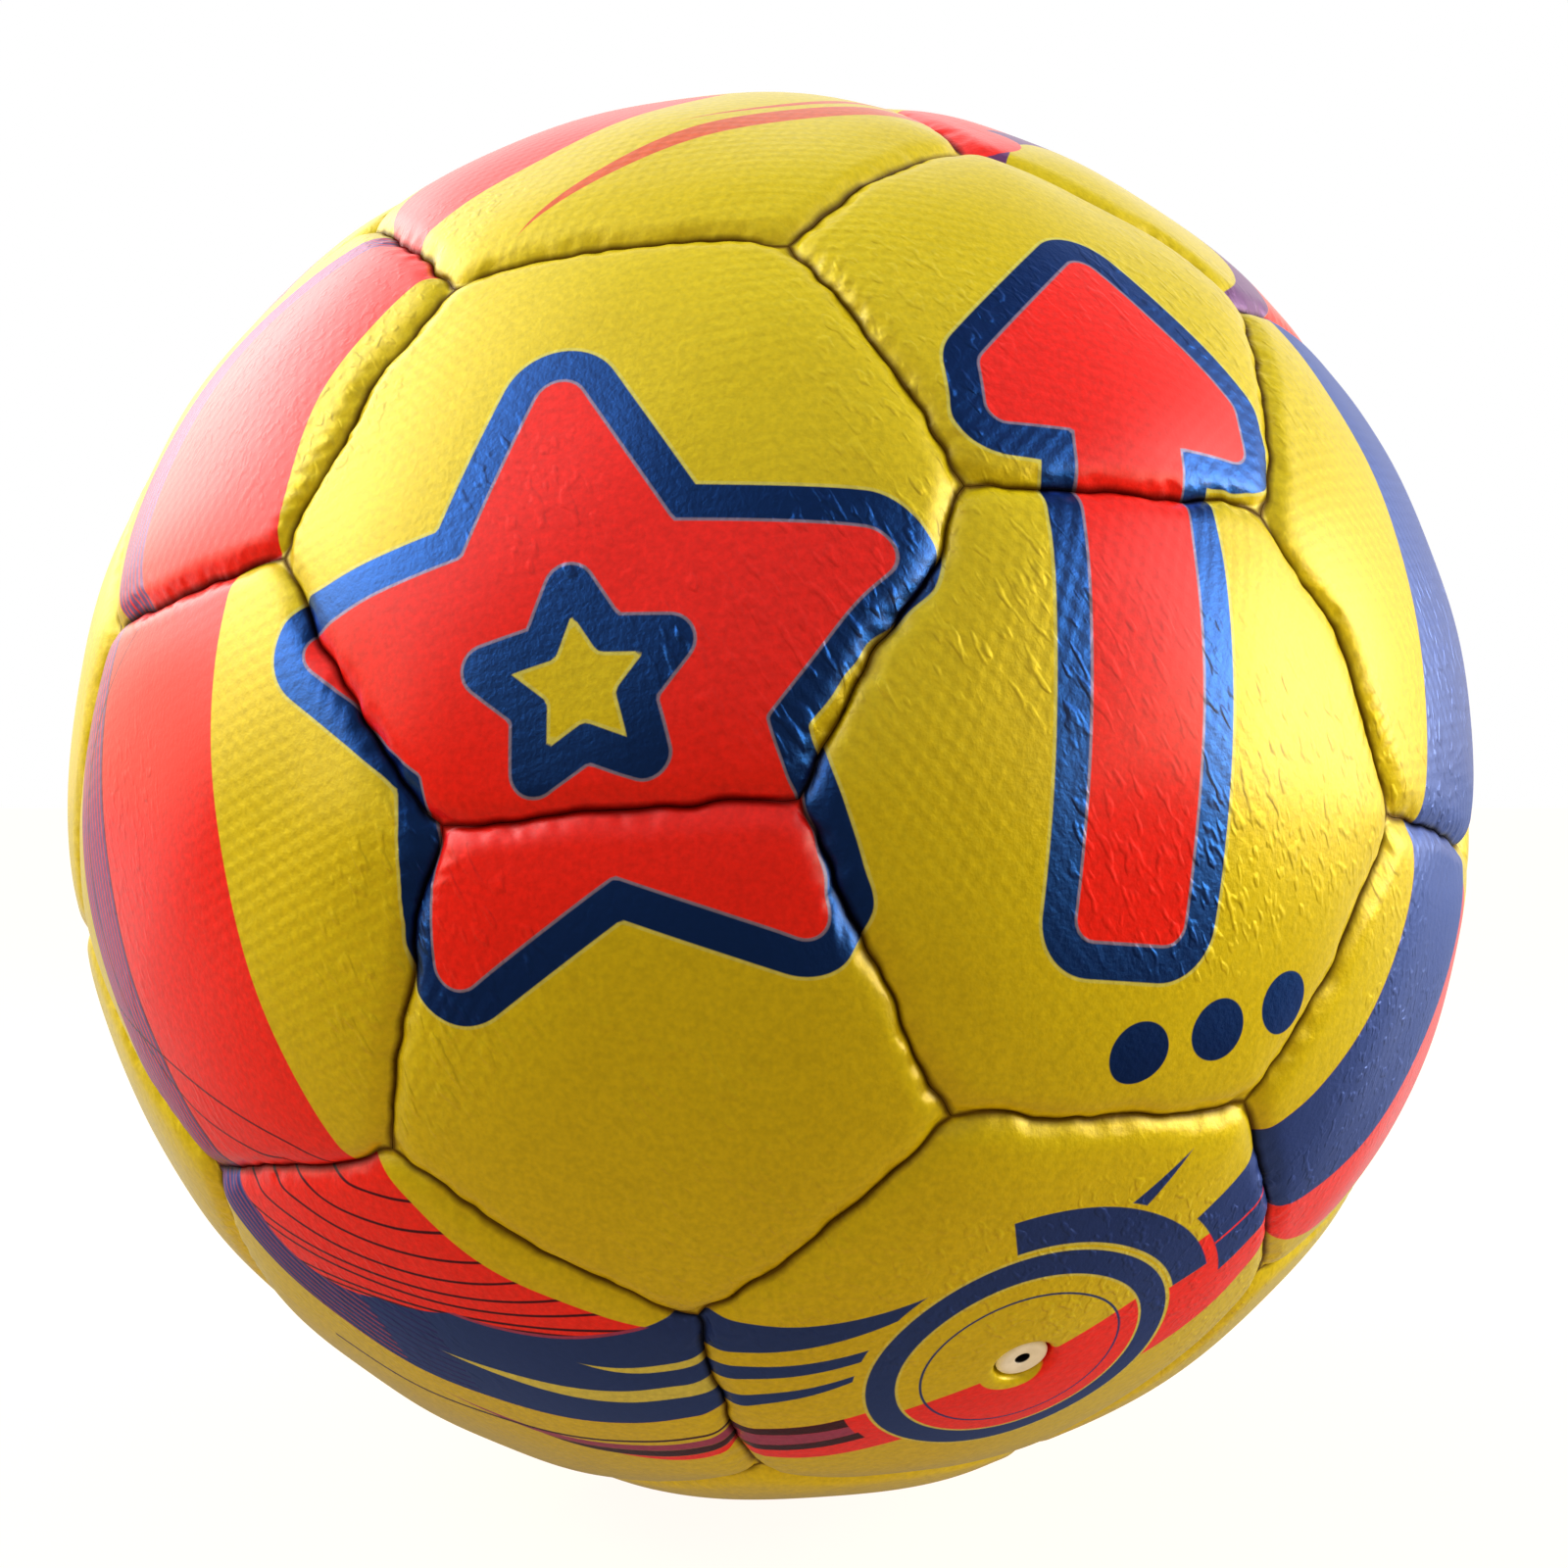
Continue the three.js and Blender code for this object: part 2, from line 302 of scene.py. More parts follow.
@dataclass(frozen=True)
class BallLayout:
    """The 12 five-sided and 20 six-sided panels of the ball, as it lies.

    Attributes:
        valve_spin: Turn of the ball about the valve's axis, in degrees.
    """

    valve_spin: float = -10.9

    @property
    def valve_axis(self) -> np.ndarray:
        """Gives the direction of the valve, which its core slides along."""
        return unit(np.array(frame["joints"][0]["axis"]))

    @staticmethod
    def directions_from(coordinates: tuple[float, float, float]) -> np.ndarray:
        """Gives unit vectors for every sign and every cyclic order of three coordinates.

        Args:
            coordinates: The three coordinates.

        Returns:
            One row for each different direction.
        """
        found = {}
        for signs in itertools.product((1, -1), repeat=3):
            for shift in range(3):
                heading = unit(np.roll(np.multiply(coordinates, signs), shift))
                found[tuple(np.round(heading, 5) + 0.0)] = heading
        return np.array(list(found.values()))

    def lie(self) -> np.ndarray:
        """Gives the way that the ball lies.

        Returns:
            The turn from the layout's own axes, as a matrix.
        """
        axis = Vector(self.valve_axis)
        tilt = Vector((1, 1, 1)).normalized().rotation_difference(axis)
        spin = Quaternion(axis, math.radians(self.valve_spin))
        return np.array((spin @ tilt).to_matrix())

    def centres(self) -> tuple[np.ndarray, np.ndarray]:
        """Gives the middles of the panels.

        Returns:
            The directions of the five-sided ones, and those of the six-sided ones.
        """
        five = self.directions_from((0, 1, GOLDEN))
        six = np.vstack((self.directions_from((1, 1, 1)), self.directions_from((0, GOLDEN, 1 / GOLDEN))))
        return five @ self.lie().T, six @ self.lie().T

    def half_turn(self) -> np.ndarray:
        """Gives the half turn about the layout's steepest twofold axis, which swaps near and far.

        Returns:
            The turn as a matrix, which takes every panel to another one.
        """
        _, six = self.centres()
        side_by_side = math.cos(math.radians(42))  # neighbours are 41.8 degrees apart
        pairs = [(a, b) for a, b in itertools.combinations(six, 2) if a @ b > side_by_side]
        steepest = max((unit(a + b) for a, b in pairs), key=lambda axis: axis[2])
        return 2 * np.outer(steepest, steepest) - np.eye(3)

    def node_at(self, centre: np.ndarray) -> str:
        """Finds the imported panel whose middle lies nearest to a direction.

        Args:
            centre: The direction, as a unit vector.

        Returns:
            The panel's node.
        """
        nearness = {}
        for name in frame["nodes"]:
            if "panel" in name:
                low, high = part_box(name)
                nearness[name] = float(unit(np.array(low + high)) @ centre)
        return max(nearness, key=nearness.get)

    def places(self) -> list[PanelPlace]:
        """Gives every panel's place.

        Returns:
            The 32 places, five-sided ones first.
        """
        five, six = self.centres()
        found = []
        for sides, centres in ((5, five), (6, six)):
            for centre in centres:
                others = six if sides == 5 else five
                beside = others[np.argmax(others @ centre)]
                to_side = unit(beside - centre * (beside @ centre))
                half_side = Quaternion(Vector(centre), math.pi / sides)
                up = np.array(half_side @ Vector(to_side))
                turn = np.stack((np.cross(up, centre), up, centre), axis=1)
                found.append(PanelPlace(self.node_at(centre), sides, turn, bool(centre[1] > 0)))
        return found


# Panels


def side_headings(sides: int) -> tuple[np.ndarray, np.ndarray]:
    """Gives the flat directions out of a panel's sides and along them, with a corner over Y.

    Args:
        sides: Five or six.

    Returns:
        Two arrays with one row for each side.
    """
    angles = math.pi / 2 + (np.arange(sides) + 0.5) * 2 * math.pi / sides
    outward = np.stack((np.cos(angles), np.sin(angles)), axis=1)
    return outward, np.stack((-outward[:, 1], outward[:, 0]), axis=1)


@dataclass(frozen=True)
class PanelShape:
    """How a panel is shaped once it is sewn in: sizes in mm.

    Attributes:
        radius: Radius of the ball at the crown of the panel.
        thickness: The laminate of skin, foam and cloth.
        seam_dip: From the crown down to the lips of a seam.
        slope_dip: The part of seam_dip that is a wide soft slope.
        slope_width: Width of that slope.
        shoulder_width: Width of the round shoulder beside a seam.
        shoulder_arc: How much of a quarter round the shoulder takes up, across it.
        corner_softness: How softly the dips of two seams run together at a corner.
        lip_gap: Between the two lips of a seam.
        lip_height: From the lips down to the channel that holds the thread.
        channel_step: How far the walls step back at the channel.
        edge_depth: From the lips down to the end of the turned-in edge.
        edge_thickness: Thickness of the turned-in edge.
        rings: Rings of faces from the middle to the edge.
        crowding: Above 1, the rings lie closer together towards the edge.
        lining_rings: Rings of the unseen lining.
    """

    radius: float = CROWN_RADIUS
    thickness: float = 3.6
    seam_dip: float = 1.8
    slope_dip: float = 0.65
    slope_width: float = 12.0
    shoulder_width: float = 3.4
    shoulder_arc: float = 0.88
    corner_softness: float = 1.1
    lip_gap: float = 0.08
    lip_height: float = 1.1
    channel_step: float = 0.6
    edge_depth: float = 5.2
    edge_thickness: float = 2.0
    rings: int = 64
    crowding: float = 1.4
    lining_rings: int = 8

    def corner_reach(self, sides: int) -> float:
        """Gives the tangent of the angle from a panel's middle to its corners.

        Args:
            sides: Five or six.

        Returns:
            The tangent.
        """
        ball_radius = math.sqrt(9 * GOLDEN + 10) / 2  # of a ball whose panels have sides of 1
        outline_radius = 0.5 / math.sin(math.pi / sides)
        return math.tan(math.asin(outline_radius / ball_radius))

    def insets(self, own: np.ndarray, sides: int) -> tuple[np.ndarray, np.ndarray]:
        """Measures how far points lie from the middle planes of a panel's seams.

        Args:
            own: Points in the panel's own frame, in mm.
            sides: Five or six.

        Returns:
            For each point and side, the distance from the seam and the place along it, in mm.
        """
        reach = self.corner_reach(sides) * math.cos(math.pi / sides)
        outward, along = side_headings(sides)
        distance = (reach * own[:, 2:3] - own[:, :2] @ outward.T) / math.hypot(reach, 1)
        return distance, own[:, :2] @ along.T

    def share_at(self, sides: int, inset: float, radius: float) -> float:
        """Gives the size of the outline, as a share of the whole, at a distance from the seams."""
        side_angle = math.atan(self.corner_reach(sides) * math.cos(math.pi / sides))
        return 1 - inset / (radius * math.sin(side_angle) * math.cos(side_angle))

    def dip(self, inset: np.ndarray) -> np.ndarray:
        """Gives how far the skin lies below the crown at a distance from the seam.

        Args:
            inset: Distances from the lips, in mm.

        Returns:
            Depths in mm.
        """
        slope = np.clip(1 - inset / self.slope_width, 0, 1) ** 2 * self.slope_dip
        across = np.clip(1 - inset / self.shoulder_width, 0, 1) * self.shoulder_arc
        shoulder = (1 - np.sqrt(1 - across ** 2)) / (1 - math.sqrt(1 - self.shoulder_arc ** 2))
        return slope + shoulder * (self.seam_dip - self.slope_dip)


@dataclass(frozen=True)
class PanelBlank:
    """A panel in its own frame, before its seams pull it: its middle is on +Z.

    Attributes:
        sides: Five or six.
        shape: The sizes of the panel.
        hole_radius: Radius of the valve's hole in mm, or 0 for none.
        hole_round: Radius of the hole's rolled edge, in mm.
        hole_steps: Steps round that edge.
        hole_rings: Rings of the skin that the hole takes the place of.
        hole_blend: Share of the way out on which the rings turn from round to straight-sided.
        mean_reach: Mean reach of the straight-sided outline, as a share of its corners'.
        parting: Distance from the axis that parts the hole's edge from the panel's, in mm.
    """

    sides: int
    shape: PanelShape
    hole_radius: float = 0.0
    hole_round: float = 0.9
    hole_steps: int = 5
    hole_rings: int = 6
    hole_blend: float = 0.25
    mean_reach: float = 0.93
    parting: float = 20.0

    def flat_sheet(self, rings: int, hole_rings: int) -> bpy.types.Object:
        """Makes a flat even net of triangles whose corners are at a distance of 1.

        Args:
            rings: Rings of triangles from the middle to the edge.
            hole_rings: Rings that are left out in the middle.

        Returns:
            The net.
        """
        bpy.ops.object.select_all(action="DESELECT")
        bpy.ops.mesh.primitive_circle_add(vertices=self.sides, radius=1.0, fill_type="TRIFAN")
        net = bpy.context.object
        edit_only(net)
        bpy.ops.mesh.select_all(action="SELECT")
        bpy.ops.mesh.subdivide(number_cuts=rings - 1)
        bpy.ops.object.mode_set(mode="OBJECT")
        if hole_rings:
            inside = self.outline_shares(places_of(net)) < (hole_rings - 0.5) / rings
            edit_only(net)
            bpy.ops.object.mode_set(mode="OBJECT")
            net.data.vertices.foreach_set("select", inside)
            bpy.ops.object.mode_set(mode="EDIT")
            bpy.ops.mesh.delete(type="VERT")
            bpy.ops.object.mode_set(mode="OBJECT")
        return net

    def outline_shares(self, flat: np.ndarray) -> np.ndarray:
        """Gives how far each flat point lies towards the outline, from 0 in the middle to 1."""
        outward, _ = side_headings(self.sides)
        return (flat[:, :2] @ outward.T).max(axis=1) / math.cos(math.pi / self.sides)

    def spread(self, flat: np.ndarray, inset: float, radius: float, hole_share: float) -> np.ndarray:
        """Lays a flat net on a ball.

        Args:
            flat: The net's points.
            inset: Distance of its edge from the seams, in mm.
            radius: Radius of the ball, in mm.
            hole_share: Share at which the net's hole begins, or 0.

        Returns:
            Points on the ball, in mm.
        """
        share = self.outline_shares(flat)
        crowded = 1 - np.clip(1 - share, 0, 1) ** self.shape.crowding
        edge = self.shape.share_at(self.sides, inset, radius)
        reach = self.shape.corner_reach(self.sides)
        length = np.linalg.norm(flat[:, :2], axis=1)
        size = np.divide(crowded, share, out=np.zeros_like(share), where=share > 0) * edge * reach
        if hole_share:
            hole = math.tan(math.asin((self.hole_radius + self.hole_round) / radius))
            rounded = (share - hole_share) / (1 - hole_share)
            ring = hole + rounded * (reach * edge * self.mean_reach - hole)
            blend = np.clip((share - hole_share) / self.hole_blend, 0, 1)
            blend = blend * blend * (3 - 2 * blend)
            size = size * blend + ring / np.maximum(length, 1e-9) * (1 - blend)
        net = np.column_stack((flat[:, :2] * size[:, None], np.ones(len(flat))))
        return unit(net) * radius

    def edge_rings(self) -> list[tuple[float, float]]:
        """Gives the rings under the lips, in order.

        Returns:
            For each ring, its distance from the seams and its radius on the ball, in mm.
        """
        shape = self.shape
        lip, lips = shape.lip_gap / 2, shape.radius - shape.seam_dip
        channel, inner = lip + shape.channel_step, lip + shape.channel_step + shape.edge_thickness
        channel_top = lips - shape.lip_height - shape.channel_step
        return [
            (lip, lips),
            (lip, lips - shape.lip_height),
            (channel, channel_top),
            (channel, lips - shape.edge_depth),
            (inner, lips - shape.edge_depth),
            (inner, shape.radius - shape.thickness),
        ]

    def build(self) -> bpy.types.Object:
        """Models the blank: its skin, its turned-in edge and its lining, as one closed shell.

        Returns:
            The blank, in metres.
        """
        shape = self.shape
        hole_rings, lining_hole = (self.hole_rings, 1) if self.hole_radius else (0, 0)
        skin = self.flat_sheet(shape.rings, hole_rings)
        lip = shape.lip_gap / 2
        on_ball = self.spread(places_of(skin), lip, shape.radius, hole_rings / shape.rings)
        inset = shape.insets(on_ball, self.sides)[0] - lip
        softest = -np.log(np.exp(-inset / shape.corner_softness).sum(axis=1)) * shape.corner_softness
        depth = shape.dip(np.clip(softest, 0, None))
        put_places(skin, on_ball * (1 - depth / shape.radius)[:, None] * MM)

        lining = self.flat_sheet(shape.lining_rings, lining_hole)
        inside = self.spread(places_of(lining), *self.edge_rings()[-1], lining_hole / shape.lining_rings)
        put_places(lining, inside * MM)
        edit_only(lining)
        bpy.ops.mesh.select_all(action="SELECT")
        bpy.ops.mesh.flip_normals()
        bpy.ops.object.mode_set(mode="OBJECT")

        edit_only(skin)
        self.extrude_edge(skin)
        if self.hole_radius:
            self.roll_hole(skin)
        bpy.ops.object.mode_set(mode="OBJECT")
        lining.select_set(True)
        bpy.ops.object.join()
        self.close(skin)
        return skin

    def extrude_edge(self, skin: bpy.types.Object) -> None:
        """Draws the skin's edge down into the seam and in under the panel.

        Args:
            skin: The skin, in edit mode.
        """
        select_open_edges(skin, nearest=self.parting * MM)
        rings = self.edge_rings()
        for (inset, radius), (next_inset, next_radius) in zip(rings, rings[1:]):
            inward = self.shape.share_at(self.sides, next_inset, next_radius)
            inward /= self.shape.share_at(self.sides, inset, radius)
            down = next_radius / radius
            bpy.ops.mesh.extrude_edges_move()
            bpy.ops.transform.resize(value=(inward * down, inward * down, down), center_override=(0, 0, 0))

    def roll_hole(self, skin: bpy.types.Object) -> None:
        """Rolls the edge of the valve's hole over and takes it down to the lining.

        Args:
            skin: The skin, in edit mode.
        """
        select_open_edges(skin, farthest=self.parting * MM)
        reach, level = self.hole_radius + self.hole_round, 0.0
        for step in range(1, self.hole_steps + 1):
            angle = math.pi / 2 * step / self.hole_steps
            next_reach = self.hole_radius + self.hole_round * (1 - math.sin(angle))
            next_level = -self.hole_round * (1 - math.cos(angle))
            self.extrude_ring(next_reach / reach, next_level - level)
            reach, level = next_reach, next_level
        self.extrude_ring(1.0, -self.shape.thickness - level)

    @staticmethod
    def extrude_ring(inward: float, rise: float) -> None:
        """Extrudes the selected ring about the panel's axis.

        Args:
            inward: The new ring's size as a share of the old one's.
            rise: How far it moves along the axis, in mm.
        """
        bpy.ops.mesh.extrude_edges_move()
        bpy.ops.transform.resize(value=(inward, inward, 1), center_override=(0, 0, 0))
        bpy.ops.transform.translate(value=(0, 0, rise * MM))

    def close(self, skin: bpy.types.Object) -> None:
        """Joins the skin's edges to the lining's, and turns the closed shell's faces outwards.

        Args:
            skin: The skin and the lining, as one object.
        """
        edit_only(skin)
        select_open_edges(skin, nearest=self.parting * MM)
        bpy.ops.mesh.bridge_edge_loops()
        if self.hole_radius:
            select_open_edges(skin, farthest=self.parting * MM)
            bpy.ops.mesh.bridge_edge_loops()
        bpy.ops.mesh.select_all(action="SELECT")
        bpy.ops.mesh.remove_doubles(threshold=0.01 * MM)
        bpy.ops.mesh.normals_make_consistent(inside=False)
        bpy.ops.object.mode_set(mode="OBJECT")
        bpy.ops.object.shade_smooth_by_angle(angle=math.radians(50))


class Unevenness(Enum):
    """The random fields that make hand stitching uneven, with their wavelengths in mm."""

    STITCHES = Ripple(3, 9.0)
    SLACK = Ripple(5, 75.0)
    SLANT = Ripple(8, 14.0)
    CREASES = Ripple(9, 24.0)
    SWELL = Ripple(11, 26.0)

    def at(self, places: np.ndarray) -> np.ndarray:
        """Gives the field's value at each place, given in mm."""
        return self.value.at(places)


@dataclass(frozen=True)
class SeamPull:
    """What hand stitching does to the skin: sizes in mm.

    Attributes:
        stitches: Stitches on each side of a panel.
        pucker: Depth of the dimple at each stitch.
        pucker_width: Reach of that dimple, and its distance from the seam.
        wander: Spread of the lips' small wanderings.
        wander_length: Their wavelength.
        wander_width: How far from the seam they reach.
        sway: Spread of the lips' long wanderings.
        sway_length: Their wavelength.
        sway_width: How far from the seam they reach.
        valley: Most that a slack seam sinks further.
        valley_width: How far from the seam it sinks.
        crease: Height of the short slanting creases beside the seams.
        crease_pitch: Between two creases.
        crease_lean: How far a crease leans over for each mm away from the seam.
        crease_width: Reach of the creases, and their distance from the seam.
        swell: Height of the panels' uneven bulges.
        swell_width: How far from the seam they reach their full height.
    """

    stitches: int = 12
    pucker: float = 0.14
    pucker_width: float = 0.9
    wander: float = 0.15
    wander_length: float = 5.0
    wander_width: float = 2.5
    sway: float = 0.32
    sway_length: float = 17.0
    sway_width: float = 7.0
    valley: float = 0.40
    valley_width: float = 9.0
    crease: float = 0.09
    crease_pitch: float = 2.2
    crease_lean: float = 0.7
    crease_width: float = 2.0
    swell: float = 0.12
    swell_width: float = 6.0

    def drift(self, place: np.ndarray, inset: np.ndarray) -> np.ndarray:
        """Gives how far the seams wander sideways, which their thread follows.

        Args:
            place: Points on the ball, in mm.
            inset: Their distances from the nearest seam, in mm.

        Returns:
            One sideways shift for each point, in mm.
        """
        close = self.wander * np.exp(-(inset / self.wander_width) ** 2)
        wide = self.sway * np.exp(-(inset / self.sway_width) ** 2)
        shift = np.zeros_like(place)
        for axis in range(3):
            small = Ripple(20 + axis, self.wander_length).at(place)
            large = Ripple(30 + axis, self.sway_length).at(place)
            shift[:, axis] = small * close + large * wide
        outward = unit(place)
        return shift - outward * (shift * outward).sum(axis=1)[:, None]

    def pull(self, own: np.ndarray, turn: np.ndarray, sides: int, shape: PanelShape) -> np.ndarray:
        """Moves a panel's points as its seams pull them.

        Args:
            own: Points in the panel's own frame, in mm.
            turn: The panel's place on the ball.
            sides: Five or six.
            shape: The sizes of the panel.

        Returns:
            Points on the ball, in mm.
        """
        insets, alongs = shape.insets(own, sides)
        nearest = insets.argmin(axis=1)
        rows = np.arange(len(own))
        inset, along = insets[rows, nearest], alongs[rows, nearest]
        place = own @ turn.T

        side_length = 2 * shape.radius * math.sin(math.atan(shape.corner_reach(sides)))
        side_length *= math.sin(math.pi / sides)
        at_stitch = 0.5 - 0.5 * np.cos(2 * math.pi * along * self.stitches / side_length)
        strength = np.clip(0.75 + 0.45 * Unevenness.STITCHES.at(place), 0.1, 2)
        beside = np.exp(-((inset - self.pucker_width) / self.pucker_width) ** 2)
        off_corner = np.clip((side_length / 2 - np.abs(along)) / 2.5, 0, 1)
        drop = self.pucker * strength * at_stitch * beside * off_corner

        slack = np.clip(0.35 + 0.45 * Unevenness.SLACK.at(place), 0, 1)
        drop += self.valley * slack * np.clip(1 - inset / self.valley_width, 0, 1) ** 2

        slant = 2 * math.pi * (along + self.crease_lean * inset) / self.crease_pitch
        ridges = 0.5 + 0.5 * np.sin(slant + 2.2 * Unevenness.SLANT.at(place))
        patch = np.clip(Unevenness.CREASES.at(place) - 0.2, 0, 1.6)
        near = np.exp(-((inset - self.crease_width) / self.crease_width) ** 2) * np.clip(inset, 0, 1)
        drop -= self.crease * ridges * patch * near
        drop -= self.swell * Unevenness.SWELL.at(place) * np.clip(inset / self.swell_width, 0, 1)

        # The unseen lining stays where it is.
        above_lining = np.linalg.norm(own, axis=1) - (shape.radius - shape.thickness)
        skin = np.clip(above_lining / (shape.thickness - shape.seam_dip), 0, 1)
        return place + self.drift(place, inset) - unit(place) * (drop * skin)[:, None]


# Print


@dataclass(frozen=True)
class InkLook:
    """How one ink looks on the skin.

    Attributes:
        colour: Colour in sRGB hex.
        pearl: Colour of the pearl flakes in it.
        share: Share of the light that meets the flakes.
    """

    colour: str
    pearl: str
    share: float


class Ink(Enum):
    """The inks of the print."""

    RED = InkLook("#fa1c0e", "#fa4030", 0.0)
    NAVY = InkLook("#1f3a8c", "#7490dc", 0.6)
    OUTLINE = InkLook("#0e1048", "#2c78dc", 0.5)
    MAROON = InkLook("#4c0c1c", "#803040", 0.1)
    MAGENTA = InkLook("#a83a6a", "#d070a0", 0.1)
    VIOLET = InkLook("#743a74", "#a888c0", 0.28)
    INDIGO = InkLook("#3a2c78", "#6070d0", 0.5)
    ORANGE = InkLook("#e0560e", "#f08040", 0.05)
    LILAC = InkLook("#8f7f96", "#b0b0e0", 0.2)
    PALE = InkLook("#dcd458", "#f0ec90", 0.1)
    SKIN = InkLook("#e2cc0c", "#f4dc3c", 0.14)


@dataclass(frozen=True)
class Round:
    """A circle drawn on the ball: the direction of its middle and its reach, in degrees."""

    azimuth: float
    elevation: float
    reach: float

    def grown(self, millimetres: float) -> "Round":
        """Gives the circle with a longer reach."""
        more = math.degrees(millimetres / CROWN_RADIUS)
        return Round(self.azimuth, self.elevation, self.reach + more)

    def distance(self, tree: bpy.types.NodeTree, place: bpy.types.NodeSocket) -> bpy.types.NodeSocket:
        """Adds nodes that measure how far a place lies outside the circle, in mm.

        Args:
            tree: The material's nodes.
            place: The place on the ball, as a unit vector.

        Returns:
            The distance, negative inside.
        """
        axis = tuple(direction(self.azimuth, self.elevation))
        cosine = add_node(tree, "VectorMath", {0: place, 1: axis}, "Value", operation="DOT_PRODUCT")
        angle = add_node(tree, "Math", {0: cosine}, operation="ARCCOSINE")
        shifted = {0: angle, 1: CROWN_RADIUS, 2: -math.radians(self.reach) * CROWN_RADIUS}
        return add_node(tree, "Math", shifted, operation="MULTIPLY_ADD")


@dataclass(frozen=True)
class Sweep:
    """An area of ink between circles drawn on the ball.

    Attributes:
        ink: The ink.
        inside: The circles that it lies inside.
        outside: The circles that it lies outside.
        pitch: Between fine lines that run beside the first outside circle, in mm; 0 fills the area.
        line: Width of those lines, in mm.
    """

    ink: Ink
    inside: tuple[Round, ...]
    outside: tuple[Round, ...] = ()
    pitch: float = 0.0
    line: float = 0.3

    def mask(self, tree: bpy.types.NodeTree, place: bpy.types.NodeSocket) -> bpy.types.NodeSocket:
        """Adds nodes that give 1 where the ink is and 0 off it.

        Args:
            tree: The material's nodes.
            place: The place on the ball, as a unit vector.

        Returns:
            The mask.
        """
        depths = [ring.distance(tree, place) for ring in self.inside]
        for ring in self.outside:
            beyond = {0: ring.distance(tree, place), 1: -1.0}
            depths.append(add_node(tree, "Math", beyond, operation="MULTIPLY"))
        if self.pitch:
            across = {0: self.outside[0].distance(tree, place), 1: self.pitch / 2}
            nearest = add_node(tree, "Math", across, operation="PINGPONG")
            edge = {0: nearest, 1: self.line / 2}
            depths.append(add_node(tree, "Math", edge, operation="SUBTRACT"))
        depth = depths[0]
        for other in depths[1:]:
            depth = add_node(tree, "Math", {0: depth, 1: other}, operation="MAXIMUM")
        return add_node(tree, "MapRange", {"Value": depth, "From Min": SOFT_EDGE, "From Max": -SOFT_EDGE})


def fine_lines(
    ink: Ink,
    width: float,
    rounds: tuple[Round, ...],
    inside: tuple[Round, ...],
    outside: tuple[Round, ...],
) -> tuple[Sweep, ...]:
    """Gives thin lines of ink that follow circles.

    Args:
        ink: The ink.
        width: Width of the lines, in mm.
        rounds: The circles that they follow.
        inside: Circles that the lines stay inside.
        outside: Circles that they stay outside.

    Returns:
        One area for each line.
    """
    return tuple(
        Sweep(ink, (ring.grown(width / 2), *inside), (ring.grown(-width / 2), *outside))
        for ring in rounds
    )


@dataclass(frozen=True)
class PrintSheet:
    """The print of one panel: the direction of the panel's middle, and its inks in order."""

    azimuth: float
    elevation: float
    sweeps: tuple[Sweep, ...] = ()


@dataclass(frozen=True)
class Motif:
    """A plain figure in red with a navy outline, printed over several panels.

    Attributes:
        azimuth: Azimuth of its middle, in degrees.
        elevation: Elevation of its middle, in degrees.
        tilt: Turn to the left, in degrees.
        corners: Its outline, in mm.
        rounding: Radius of its corners, in mm.
        hole: Size of a hole of the same shape, as a share of the figure's, or 0.
    """

    azimuth: float
    elevation: float
    tilt: float
    corners: tuple[tuple[float, float], ...]
    rounding: float
    hole: float = 0.0

    def distance(self, places: np.ndarray) -> np.ndarray:
        """Measures how far places lie outside the figure.

        Args:
            places: Unit vectors.

        Returns:
            Distances in mm, negative inside.
        """
        centre = direction(self.azimuth, self.elevation)
        right = unit(np.cross((0, 0, 1), centre))
        upward = np.cross(centre, right)
        reach = np.arccos(np.clip(places @ centre, -1, 1))
        across = np.column_stack((places @ right, places @ upward))
        size = np.linalg.norm(across, axis=1)
        scale = CROWN_RADIUS * reach / np.maximum(size, 1e-9)
        turn = math.radians(self.tilt)
        x = (across[:, 0] * math.cos(turn) + across[:, 1] * math.sin(turn)) * scale
        y = (-across[:, 0] * math.sin(turn) + across[:, 1] * math.cos(turn)) * scale
        outline = np.array(self.corners)
        outside = outline_distance(x, y, outline) - self.rounding
        if not self.hole:
            return outside
        return np.maximum(outside, self.rounding - outline_distance(x, y, outline * self.hole))


def outline_distance(x: np.ndarray, y: np.ndarray, corners: np.ndarray) -> np.ndarray:
    """Measures how far flat points lie outside a closed outline.

    Args:
        x: The points' first coordinates.
        y: The points' second coordinates.
        corners: The outline's corners in order.

    Returns:
        Distances, negative inside.
    """
    nearest = np.full(len(x), np.inf)
    inside = np.zeros(len(x), dtype=bool)
    for start, end in zip(corners, np.roll(corners, -1, axis=0)):
        edge = end - start
        share = np.clip(((x - start[0]) * edge[0] + (y - start[1]) * edge[1]) / (edge @ edge), 0, 1)
        gap = np.hypot(x - start[0] - share * edge[0], y - start[1] - share * edge[1])
        nearest = np.minimum(nearest, gap)
        crosses = (start[1] > y) != (end[1] > y)
        rise = end[1] - start[1] if end[1] != start[1] else 1.0
        inside ^= crosses & (x < (end[0] - start[0]) * (y - start[1]) / rise + start[0])
    return np.where(inside, -nearest, nearest)


def star_corners(points: int, outer: float, inner: float) -> tuple[tuple[float, float], ...]:
    """Gives the corners of a star that stands on two of its points.

    Args:
        points: Number of points.
        outer: Radius of the points.
        inner: Radius of the notches.

    Returns:
        The corners in order.
    """
    corners = []
    for step in range(points * 2):
        angle = math.pi / 2 + math.pi * step / points
        radius = outer if step % 2 == 0 else inner
        corners.append((math.cos(angle) * radius, math.sin(angle) * radius))
    return tuple(corners)


